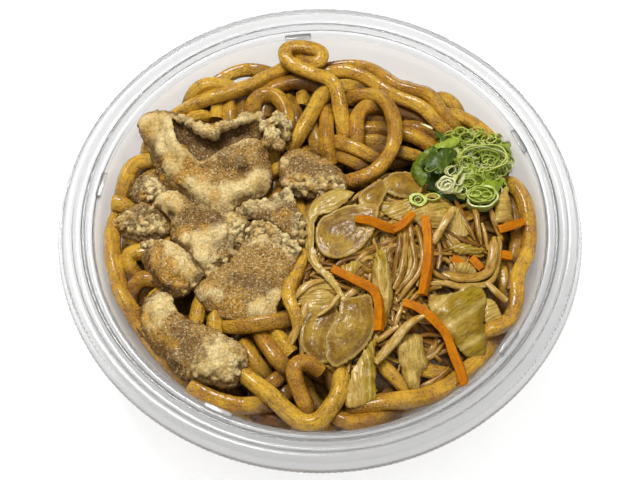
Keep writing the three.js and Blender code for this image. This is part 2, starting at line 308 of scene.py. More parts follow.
# Each noodle's route: (x, y, height over the heap's surface).
noodle_routes = [
    # top loop
    [(8.5, 35, -5), (8.5, 37.5, -2), (7.5, 46, 0.5), (2, 60.5, 1.5), (-5.5, 66.5, 2.5), (-14, 73, 5),
     (-14, 76, 5.5), (-2.5, 76.5, 6), (1, 74.5, 5), (1, 72, 4), (-1, 70, 3), (-4.5, 70.5, 2.5),
     (-11, 74.5, 0.5), (-13, 73, -1), (-15, 70, -1), (-21.5, 64.5, -0.5), (-25.5, 61.5, 0), (-30, 60, 0),
     (-48, 54, -0.5), (-51.5, 52.5, -1), (-60.5, 49.5, -4)],
    # outer left to right
    [(-43.5, 58.5, -3.5), (-43.5, 60.5, -1.5), (-43, 64.5, -1), (-33, 71.5, 0), (-20, 70.5, -1),
     (-11.5, 68.5, -4.5), (-7, 68.5, -4), (-3, 67.5, -1.5), (0.5, 67.5, 0), (9, 69, 0.5), (21, 62, 0.5),
     (32.5, 53.5, 0.5), (40.5, 50, 0.5), (50, 41.5, -2), (53.5, 39.5, -5)],
    # outer left short
    [(-36, 60, -4), (-39.5, 60, -2), (-45.5, 60, -0.5), (-50, 56.5, -1.5), (-51.5, 54, -3.5)],
    # arch under the loop
    [(-26.5, 52.5, -5), (-25.5, 56, -2.5), (-23, 60, -1.5), (-6.5, 65, -2.5), (-2, 63.5, -4),
     (1.5, 59.5, -4.5), (3, 52.5, -3.5), (3, 38, -2.5), (3, 31, -3), (3, 26.5, -5.5)],
    # small arch
    [(-26.5, 47.5, -5), (-25.5, 50.5, -2), (-24.5, 53.5, -0.5), (-17, 54.5, 0.5), (-14.5, 51.5, 0),
     (-12.5, 42.5, -1.5), (-12.5, 39, -4.5)],
    # curl in the arch
    [(-22.5, 47.5, -5), (-22, 50.5, -3), (-20, 52.5, -2.5), (-17.5, 51, -3), (-17.5, 48, -5)],
    # left post
    [(-36.5, 60.5, -4), (-36, 49.5, -3), (-35.5, 45.5, -5.5)],
    # left post 2
    [(-41, 59, -5.5), (-40.5, 52, -4.5), (-40, 46, -6)],
    # left post 3
    [(-31.5, 60.5, -6), (-30.5, 54.5, -5), (-29.5, 48.5, -6)],
    # crossing
    [(-12, 31.5, -5), (-10, 33.5, -2), (-3.5, 44.5, 0), (2.5, 56.5, -1), (5.5, 61, -3.5), (8.5, 62, -2.5),
     (16, 62, -2.5), (24, 59, -6)],
    # big loop
    [(9, 55, -6), (10.5, 56.5, -4), (12.5, 56.5, -2), (19.5, 55.5, 0), (26, 49, 2), (27, 27.5, 2.5),
     (21, 19.5, 2.5), (12, 16.5, 1.5), (0.5, 25, -4.5)],
    # inner arch
    [(13, 25, -6), (13.5, 35.5, -1.5), (15, 47, -0.5), (18, 50, -1), (25, 50, -3.5), (31, 49, -3.5),
     (43, 47, -4.5), (47.5, 45.5, -6)],
    # low cross
    [(3.5, 37, -4.5), (7, 33.5, -2), (15.5, 29, -1), (19.5, 27, -1.5), (24, 26.5, -4)],
    # low cross 2
    [(3, 32, -5), (7.5, 29.5, -3.5), (16, 25, -3), (21, 23.5, -5)],
    # rung
    [(11, 50, -6), (23.5, 48.5, -5.5), (28.5, 47.5, -6)],
    # rung 2
    [(12.5, 42, -5), (16.5, 42, -4), (27, 41.5, -3), (42, 36, -2.5), (46, 33.5, -4.5)],
    # rung 3
    [(14, 37, -6.5), (20, 37, -5), (30.5, 36, -6)],
    # rung 4
    [(19.5, 33.5, -6.5), (33.5, 30, -3), (43, 28.5, -6)],
    # rung 5
    [(32.5, 47.5, -5.5), (42, 42.5, -3), (50.5, 38, -6)],
    # post a
    [(-12, 58.5, -6), (-10.5, 52.5, -4.5), (-7, 41, -4.5), (-5, 37.5, -6)],
    # post b
    [(-6, 64.5, -7), (-6.5, 58, -5.5), (-8, 52.5, -6), (-9, 49.5, -7)],
    # post c
    [(-2.5, 64.5, -7), (-2, 57.5, -6), (-3, 52, -6.5)],
    # post d
    [(-6, 48, -6.5), (-0.5, 33, -4.5), (1, 28, -6.5)],
    # outer right
    [(-1, 73.5, -5), (3.5, 74, -3), (20, 72, -1), (23, 69, -1), (29, 63, -1), (43.5, 55, -0.5),
     (47.5, 48.5, -1), (50.5, 46, -1.5), (55, 45.5, -4)],
    # under outer
    [(18, 71.5, -6), (25.5, 65.5, -6), (42.5, 55, -5.5), (51, 47, -6)],
    # far end
    [(41, 55.5, -4), (44.5, 57, -3), (48, 57.5, -2.5), (51.5, 52, -3), (51, 48.5, -5.5)],
    # behind green
    [(47.5, 49.5, -4.5), (52.5, 47.5, -2.5), (62.5, 44, -2), (69.5, 38.5, -2.5), (72, 31.5, -6)],
    # left wall
    [(-63.5, 28, -4), (-67.5, 28, -2), (-71.5, 27, -1), (-75.5, 19, -0.5), (-78.5, 11, -3.5),
     (-79, 5.5, -2), (-67.5, -35.5, -2), (-52.5, -56, -4), (-46.5, -61, -6)],
    # left cut end
    [(-80.5, 10, 0.5), (-71.5, 8.5, 0.5), (-64, 12.5, -4.5)],
    # left fork
    [(-61.5, -11.5, -3.5), (-65.5, -11.5, -1), (-71, -12.5, -1), (-70.5, -17.5, -3), (-68, -19.5, -5.5)],
    # left hook
    [(-58, -23, -3.5), (-61.5, -23, -1), (-65.5, -23, -0.5), (-68.5, -25, -1), (-69, -37, -3),
     (-66.5, -40.5, -5.5)],
    # left inside
    [(-61, -23.5, -6.5), (-65, -26, -6), (-67, -30, -6.5)],
    # bottom cut end
    [(-46.5, -64.5, -1), (-43, -66.5, -1), (-28, -72.5, -1), (-20.5, -73, -2.5), (-17, -73.5, -5.5)],
    # bottom dark
    [(-23, -74, -5), (-15, -77, -4.5), (-10.5, -78.5, -6)],
    # near loop
    [(-28.5, -57.5, -3.5), (-26.5, -61.5, -1), (-23, -64.5, -0.5), (-9.5, -76.5, 0.5), (-6.5, -78.5, 0.5),
     (0, -78.5, 0.5), (6.5, -70.5, 0.5), (7, -62.5, -2), (6.5, -57.5, -5.5)],
    # fold
    [(3.5, -58.5, -5.5), (-3, -57.5, -1), (-6.5, -57.5, 0), (-9, -59, 0.5), (-9, -62.5, 0.5),
     (-4.5, -73, -3), (-4, -75, -6)],
    # glossy diagonal
    [(-23.5, -43, -4.5), (-20.5, -47, -2.5), (-13.5, -58.5, -2.5), (-10.5, -60.5, -5.5)],
    # short diagonal
    [(-16, -42.5, -4), (-12.5, -51, -3), (-10, -54.5, -5.5)],
    # dark diagonal
    [(-29, -47, -7), (-26, -52.5, -4.5), (-19.5, -60.5, -4.5), (-15.5, -63.5, -6.5)],
    # under crossing
    [(-22, -65, -6.5), (-14, -60, -4), (-10.5, -58, -6)],
    # under crossing 2
    [(-16.5, -68.5, -6.5), (-13, -66.5, -4.5), (-9.5, -63.5, -6)],
    # under pork
    [(-38, -37.5, -5.5), (-33, -41.5, -2.5), (-26, -43, -1.5), (-12.5, -41, -3), (-9, -39, -5.5)],
    # left stub
    [(-37, -33, -5), (-37, -38.5, -3), (-37, -44, -3.5), (-37.5, -47.5, -6)],
    # middle post
    [(-6, -8, -4.5), (-6.5, -14.5, -1.5), (-9, -24.5, -0.5), (-12, -32.5, -1), (-9.5, -39.5, -3),
     (-7.5, -42.5, -6)],
    # right sweep
    [(5.5, -75.5, -5.5), (15, -72, -0.5), (20, -71.5, 0), (40.5, -67, 0), (55, -55, -1.5),
     (68.5, -39.5, -2.5)],
    # right low
    [(4.5, -72, -5), (7, -76, -2), (15, -78.5, -1), (23, -75, -2.5), (27, -72, -5.5)],
    # right short
    [(20.5, -55, -5), (23.5, -59, -2.5), (30, -65, -3), (33.5, -67, -5.5)],
    # right short 2
    [(33, -55.5, -5.5), (37, -58, -3), (46, -60, -3.5), (50.5, -60.5, -6)],
    # right wall
    [(70.5, 22, -5), (73, 19.5, -2.5), (79, 6, -1), (77, -10.5, -1.5), (72, -21, -1.5), (71.5, -26.5, -1),
     (71.5, -31.5, -1), (68, -40.5, -1), (60.5, -45, -2.5), (58, -46.5, -4)],
    # right inner
    [(72, 19, -5), (74.5, 14, -3.5), (76, 4, -3), (74.5, -8.5, -3), (73.5, -14.5, -3.5), (73.5, -17, -6)],
    # right inmost
    [(66, -11, -6), (68, -18, -3.5), (69, -24.5, -3), (69.5, -29, -3.5), (69, -34, -6)],
]


def heap_surface(x, y):
    """Level of the food: highest in the middle, falling towards the wall."""
    return heap_top - heap_fall * (np.hypot(x, y) / heap_radius) ** 3


def lengthwise(points):
    """How far along a line each of its points is."""
    return np.concatenate([[0], np.cumsum(np.linalg.norm(np.diff(points, axis=0), axis=1))])


def smooth_route(points, spacing):
    """Evenly spaced points on a smooth curve through the given ones."""
    points = np.array(points, float)
    reach = lengthwise(points)
    slope = np.gradient(points, reach, axis=0)
    fine = np.linspace(0, reach[-1], max(3, round(reach[-1] / spacing)) + 1)
    k = np.clip(np.searchsorted(reach, fine, side="right") - 1, 0, len(reach) - 2)
    span = (reach[k + 1] - reach[k])[:, None]
    s = (fine - reach[k])[:, None] / span
    start, end = points[k] * (1 + 2 * s) + slope[k] * span * s, points[k + 1] * (3 - 2 * s)
    return start * (1 - s) ** 2 + (end + slope[k + 1] * span * (s - 1)) * s**2


def laid_out(route):
    """A chosen route as points in the bowl's frame."""
    path = smooth_route(route, link)
    path[:, 2] += heap_surface(path[:, 0], path[:, 1])
    return path


def wandering(depth, limit):
    """A noodle that wanders at random at a depth below the heap's surface, within a radius."""
    length = luck.uniform(90, 150)
    angle, turn = luck.uniform(0, math.tau), 0.0
    x, y = limit * math.sqrt(luck.uniform(0, 1)) * np.array([math.cos(angle), math.sin(angle)])
    heading = luck.uniform(0, math.tau)
    path = []
    for _ in range(round(length / link)):
        turn = 0.8 * turn + luck.normal(0, 0.09)
        outwards = math.hypot(x, y) / limit
        if outwards > 0.85:  # turns back before it reaches the limit
            across = math.sin(heading - math.atan2(y, x))
            turn = 0.22 * (1 if across > 0 else -1) * outwards
        heading += turn
        x, y = x + link * math.cos(heading), y + link * math.sin(heading)
        reach = max(1.0, math.hypot(x, y) / limit)
        x, y = x / reach, y / reach
        path.append((x, y, heap_surface(x, y) - depth))
    return np.array(path)


def round_the_wall(z):
    """Noodles that press against the wall near one height: a few arcs with gaps between them."""

    def wave(turns, count):
        return np.sin(turns * count + luck.uniform(0, 6))

    paths, angle = [], luck.uniform(0, math.tau)
    end = angle + math.tau
    while angle < end - 0.3:
        sweep = min(luck.uniform(0.9, 2.4), end - angle)
        turns = np.arange(angle, angle + sweep, link / 70)
        height = z + 1.6 * wave(turns, 3) + 0.8 * wave(turns, 7)
        inwards = noodle_width / 2 + sheet / 2 - 0.2 + 0.5 * (1 + wave(turns, 2.3))
        radius = wall_radius(height) - inwards
        paths.append(np.stack([radius * np.cos(turns), radius * np.sin(turns), height], axis=1))
        angle += sweep + 0.05
    return paths


def close_pairs(points, reach):
    """Index pairs of the points that are nearer to each other than about reach."""
    side = 256  # the cells' numbers along each axis stay under this
    cells = np.floor(points / reach).astype(np.int64) + side // 4
    keys = (cells[:, 0] * side + cells[:, 1]) * side + cells[:, 2]
    order = np.argsort(keys, kind="stable")
    ranked = keys[order]
    firsts, seconds = [], []
    for step in itertools.product((-1, 0, 1), repeat=3):
        if step < (0, 0, 0):
            continue
        target = keys + (step[0] * side + step[1]) * side + step[2]
        low, high = np.searchsorted(ranked, target, "left"), np.searchsorted(ranked, target, "right")
        count = high - low
        first = np.repeat(np.arange(len(keys)), count)
        within = np.arange(count.sum()) - np.repeat(np.cumsum(count) - count, count)
        second = order[np.repeat(low, count) + within]
        keep = first < second if step == (0, 0, 0) else slice(None)
        firsts.append(first[keep])
        seconds.append(second[keep])
    i, j = np.concatenate(firsts), np.concatenate(seconds)
    near = np.linalg.norm(points[i] - points[j], axis=1) < reach
    return i[near], j[near]


def ceiling_under(*kinds):
    """A function of x and y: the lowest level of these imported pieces, or none where there is no piece."""
    bm = bmesh.new()
    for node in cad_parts:
        if node.startswith(kinds):
            bm.from_mesh(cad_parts[node].data)
    tree = BVHTree.FromBMesh(bm)
    bm.free()
    extent, cell = 90, 2
    count = 2 * extent // cell
    lows = np.full((count, count), np.inf)
    for i, j in np.ndindex(count, count):
        x, y = (((k + 0.5) * cell - extent) * mm for k in (i, j))
        hit = tree.ray_cast(Vector((x, y, 0)), Vector((0, 0, 1)))[0]
        if hit is not None:
            lows[i, j] = hit.z / mm

    def ceiling(x, y):
        i, j = (np.clip(((place + extent) / cell).astype(int), 0, count - 1) for place in (x, y))
        return lows[i, j]

    return ceiling


def rest_on_each_other(strands, weights, widths, ceiling_at, margin, rounds):
    """Pushes strands apart until they lie on each other, inside the bowl, near where they were laid out."""
    home = np.vstack(strands)
    points = home.copy()
    lengths = [len(s) for s in strands]
    strand = np.repeat(np.arange(len(strands)), lengths)
    weight = np.repeat(weights, lengths)
    half = np.repeat(widths, lengths) / 2
    inner = np.flatnonzero((strand[1:-1] == strand[:-2]) & (strand[1:-1] == strand[2:])) + 1
    ceiling = ceiling_at(home[:, 0], home[:, 1]) - half - margin
    ceiling = np.maximum(ceiling, home[:, 2] - 6)  # at most this far down
    overlap, eagerness, stiffness, slack = 0.97, 1.2, 0.35, 0.985
    size = len(points)
    for step in range(rounds):
        if step % 8 == 0:  # the pairs change slowly
            i, j = close_pairs(points, 2 * half.max() + 2.0)
            apart = (strand[i] != strand[j]) | (np.abs(i - j) > 4)
            i, j = i[apart], j[apart]
        gap = points[i] - points[j]
        distance = np.maximum(np.linalg.norm(gap, axis=1), 0.05)
        touch = half[i] + half[j]
        push = (np.maximum(touch * overlap - distance, 0) / distance)[:, None] * gap
        share = (weight[j] / (weight[i] + weight[j]))[:, None]
        touching = (distance < touch).astype(float)
        count = np.maximum(np.bincount(i, touching, size) + np.bincount(j, touching, size), 1)
        for axis in range(3):
            moved = np.bincount(i, (push * share)[:, axis], size)
            moved -= np.bincount(j, (push * (1 - share))[:, axis], size)
            points[:, axis] += eagerness * moved / count
        drift = points - home
        drift[inner] += stiffness * ((drift[inner - 1] + drift[inner + 1]) / 2 - drift[inner])
        points = home + slack * drift
        points[:, 2] = np.minimum(points[:, 2], ceiling)
        limit = wall_radius(np.minimum(points[:, 2], wall_top)) - sheet / 2 - half
        inwards = np.minimum(1, limit / np.hypot(points[:, 0], points[:, 1]))
        points[:, :2] *= inwards[:, None]
    return np.split(points, np.cumsum(lengths)[:-1])


def under_others(strands):
    """How far each point of the strands lies under others: 0 in the open, 1 well below."""
    points = np.vstack(strands)
    lengths = [len(s) for s in strands]
    strand = np.repeat(np.arange(len(strands)), lengths)
    i, j = close_pairs(points, reach=10.0)
    other = strand[i] != strand[j]
    i, j = np.concatenate([i[other], j[other]]), np.concatenate([j[other], i[other]])
    above = np.clip((points[j, 2] - points[i, 2] - 1.5) / 3, 0, 1)
    aside = np.hypot(points[j, 0] - points[i, 0], points[j, 1] - points[i, 1])
    cover = np.clip(0.4 * np.bincount(i, above * np.clip(1.3 - aside / 6, 0, 1), len(points)), 0, 1)
    sunk = np.clip((heap_surface(points[:, 0], points[:, 1]) - points[:, 2] - 4) / 6, 0, 1)
    return np.split(np.maximum(cover, sunk), np.cumsum(lengths)[:-1])


def cross_section(sides, width, flatness=1.0, squareness=2.8):
    """A strand's cross-section as a closed curve, from round (2) to square (12)."""
    curve = bpy.data.curves.new("section", "CURVE")
    spline = curve.splines.new("POLY")
    spline.points.add(sides - 1)
    spline.use_cyclic_u = True
    for k, point in enumerate(spline.points):
        a = math.tau * (k + 0.5) / sides
        spread = (abs(math.cos(a)) ** squareness + abs(math.sin(a)) ** squareness) ** (1 / squareness)
        radius = width / 2 * mm / spread
        point.co = (radius * math.cos(a), radius * math.sin(a) * flatness, 0, 1)
    return linked("section", curve)


def final_mesh(made):
    """The mesh that an object comes to, with its bevel or modifiers. The object is removed."""
    mesh = bpy.data.meshes.new_from_object(made.evaluated_get(bpy.context.evaluated_depsgraph_get()))
    bpy.data.objects.remove(made)
    return mesh


def swept(path, section, resolution, radii, tilts, twist="MINIMUM"):
    """A mesh of the section swept along a path, in millimetres, and its points in rings."""
    curve = bpy.data.curves.new("strand", "CURVE")
    curve.dimensions = "3D"
    curve.bevel_mode, curve.bevel_object, curve.use_fill_caps = "OBJECT", section, True
    curve.resolution_u, curve.twist_mode = resolution, twist
    spline = curve.splines.new("NURBS")
    spline.points.add(len(path) - 1)
    spline.use_endpoint_u, spline.order_u = True, 4
    for point, place, radius, tilt in zip(spline.points, path, radii, tilts):
        point.co, point.radius, point.tilt = (*(place * mm), 1), radius, tilt
    mesh = final_mesh(linked("strand", curve))
    bpy.data.curves.remove(curve)
    mesh.transform(Matrix.Scale(1 / mm, 4))
    places = np.empty(len(mesh.vertices) * 3)
    mesh.vertices.foreach_get("co", places)
    return mesh, places.reshape(-1, len(section.data.splines[0].points), 3)


def grain_along(rings):
    """Coordinates that run with a strand, in mm, shortened along it so that noise is drawn out."""
    middle = rings.mean(axis=1)
    turn = math.tau * np.arange(rings.shape[1]) / rings.shape[1]
    radius = np.linalg.norm(rings - middle[:, None], axis=2)
    grain = np.empty(rings.shape)
    grain[:, :, 0], grain[:, :, 1] = radius * np.cos(turn), radius * np.sin(turn)
    grain[:, :, 2] = fibre * lengthwise(middle)[:, None]
    return grain + luck.uniform(0, 400, 3)


def sauce_and_shade_on(rings, cover, width, steepness, level=0.0):
    """Painted shade, with sauce, on a strand's underside at each point and at each ring that others cover.
    """
    height = rings[:, :, 2]
    below = (height.mean(axis=1, keepdims=True) - height) / width * steepness + level
    along = np.interp(np.linspace(0, 1, len(rings)), np.linspace(0, 1, len(cover)), cover)
    return np.clip(below, 0, 1), along[:, None]


def add_mesh(bm, mesh, **values):
    """Moves a mesh into the bmesh, with named values (or vectors, as grain) at its points."""
    for name, value in values.items():
        if name == "grain":
            kind, key, value = "FLOAT_VECTOR", "vector", np.ravel(value)
        else:
            kind, key, value = "FLOAT", "value", np.array(value, float).ravel()
            value = np.repeat(value, len(mesh.vertices)) if len(value) == 1 else value
        mesh.attributes.new(name, kind, "POINT").data.foreach_set(key, value)
    bm.from_mesh(mesh)
    bpy.data.meshes.remove(mesh)


def bmesh_with(*names):
    """An empty bmesh whose points have these values."""
    bm = bmesh.new()
    for name in names:
        (bm.verts.layers.float_vector if name == "grain" else bm.verts.layers.float).new(name)
    return bm


def add_noodle(bm, path, section, resolution, cover):
    steps = np.arange(len(path))
    start = luck.uniform(0, 6)
    size = luck.uniform(0.95, 1.05)
    radii = size * (1 + 0.04 * np.sin(start + steps * 0.45) + 0.02 * np.sin(steps * 1.3))
    mesh, rings = swept(path, section, resolution, radii, start + luck.uniform(-0.03, 0.03) * steps)
    # Painted shade, with sauce: darker on the underside, where other noodles lie above, and deep in the
    # heap.
    below, along = sauce_and_shade_on(rings, cover, noodle_width, steepness=2.4, level=0.22)
    soak = np.maximum(below * 0.75, along)
    add_mesh(bm, mesh, tone=luck.uniform(0, 1), soak=soak, grain=grain_along(rings))


def finish_food(name, bm, sharp=None):
    """Pulls in what reaches past the middle of the bowl's wall, then finishes the piece.

    Edges that turn by more than the sharp angle, in degrees, are not shaded smooth.
    """
    for v in bm.verts:
        limit = wall_radius(min(v.co.z, wall_top))
        v.co.xy *= min(1.0, limit / max(v.co.xy.length, 0.001))
    piece = finish_piece(name, bm)
    if sharp:
        piece.data.set_sharp_from_angle(angle=math.radians(sharp))
    return piece


def make_noodles():
    shown = [laid_out(route) for route in noodle_routes]
    below = [wandering(depth, limit) for depth, limit, count in hidden_noodles for _ in range(count)]
    strands = shown + below
    weights = [1.0] * len(shown) + [0.4] * len(below)
    widths = [noodle_width] * len(strands)
    ceiling = ceiling_under("pork")
    strands = rest_on_each_other(strands, weights, widths, ceiling, margin=2.5, rounds=160)
    covers = under_others(strands)
    at_wall = [path for z in wall_noodle_heights for path in round_the_wall(z)]
    fine = cross_section(16, noodle_width, flatness=0.92, squareness=4.2)
    plain = cross_section(8, noodle_width)
    bm = bmesh_with("tone", "soak", "grain")
    for number, (path, cover) in enumerate(zip(strands, covers)):
        section, resolution = (fine, 2) if number < len(shown) else (plain, 1)
        add_noodle(bm, path, section, resolution, cover)
    for path in at_wall:
        add_noodle(bm, path, plain, 1, np.zeros(2))
    for section in (fine, plain):
        bpy.data.objects.remove(section)
    return finish_food("udon_noodles", bm, sharp=55)


def make_noodle_core():
    """The inside of the heap, a little below the lowest noodles that show, painted dark as shade."""
    floor = base_rise + sheet - 0.1
    line = [(r, heap_surface(r, 0) - core_depth) for r in (0, 12, 24, 36, 48, 58, 66, 72)]
    line += [(wall_radius(z) - sheet / 2 - 1.0, z) for z in (27, 22, 17, 12, 8, 5, 3)]
    line += [(foot_radius - 7, floor), (0, floor)]
    bm = spun(line, math.tau, 96, closed=True)
    bmesh.ops.remove_doubles(bm, verts=bm.verts, dist=weld)
    for v in bm.verts:
        if v.co.z > 25:
            v.co.z += 1.2 * noise.noise(v.co / 4)
    bmesh.ops.recalc_face_normals(bm, faces=bm.faces)
    return finish_food("noodle_core", bm)


def glazed_noodle(depth):
    """Wheat noodle in brown sauce: golden where thin, brown where it gathers, with dark specks and painted
    shade.
    """
    n = Nodes("glazed_noodle" if depth == 0 else "sauce_soaked_noodle")
    patch = n.noise(130, 3, 0.6)
    golden = n.step(patch * 0.8 + n.attribute("tone") * 0.3, 0.35, 0.8)
    colour = n.mix(golden, (0.98, 0.58, 0.045), (0.56, 0.24, 0.008))
    lines = n.lines(1.3, 4, 0.65)
    colour = n.stain(colour, (0.42, 0.165, 0.005), 0.5, lines, 0.45, 0.65)
    colour = n.stain(colour, (0.34, 0.125, 0.004), 0.35, n.noise(330, 4, 0.7), 0.5, 0.64)
    specks = n.noise(1500, 3, 0.7) + (patch - 0.5) * 0.3
    colour = n.stain(colour, (0.10, 0.038, 0.005), 0.75, specks, 0.55, 0.64)
    # Painted shade, with sauce: darkens towards dark brown where soaked.
    colour = n.mix(n.attribute("soak") * 0.85, colour, (0.12, 0.037, 0.002))
    # Painted shade: the heap's hidden inside is darkened nearly to black.
    if depth:
        colour = n.mix(depth, colour, (0.03, 0.014, 0.006))
    wet = n.noise(260, 3, 0.6)
    pits = n.noise(1100, 3, 0.7)
    return n.flesh(
        0.1, (1.0, 0.45, 0.12), 0.0015,
        Base_Color=colour,
        Roughness=n.step(wet, 0.35, 0.65, 0.5, 0.25),
        IOR=1.42,
        Specular_IOR_Level=0.6,
        Coat_Weight=n.step(wet * 0.5 + pits * 0.5, 0.46, 0.54, 0.0, 1.0 - depth),
        Coat_Roughness=0.2,
        Normal=n.bump(pits, 0.0016, 0.8, n.bump(lines, 0.0012, 0.4, n.bump(wet, 0.003, 0.4))),
    )


# The core gets the noodle material with painted shade that darkens it nearly to black.
for make, depth in ((make_noodles, 0), (make_noodle_core, 0.7)):
    piece = make()
    piece.data.materials.append(glazed_noodle(depth))
    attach(piece, "root")
    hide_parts("noodles")
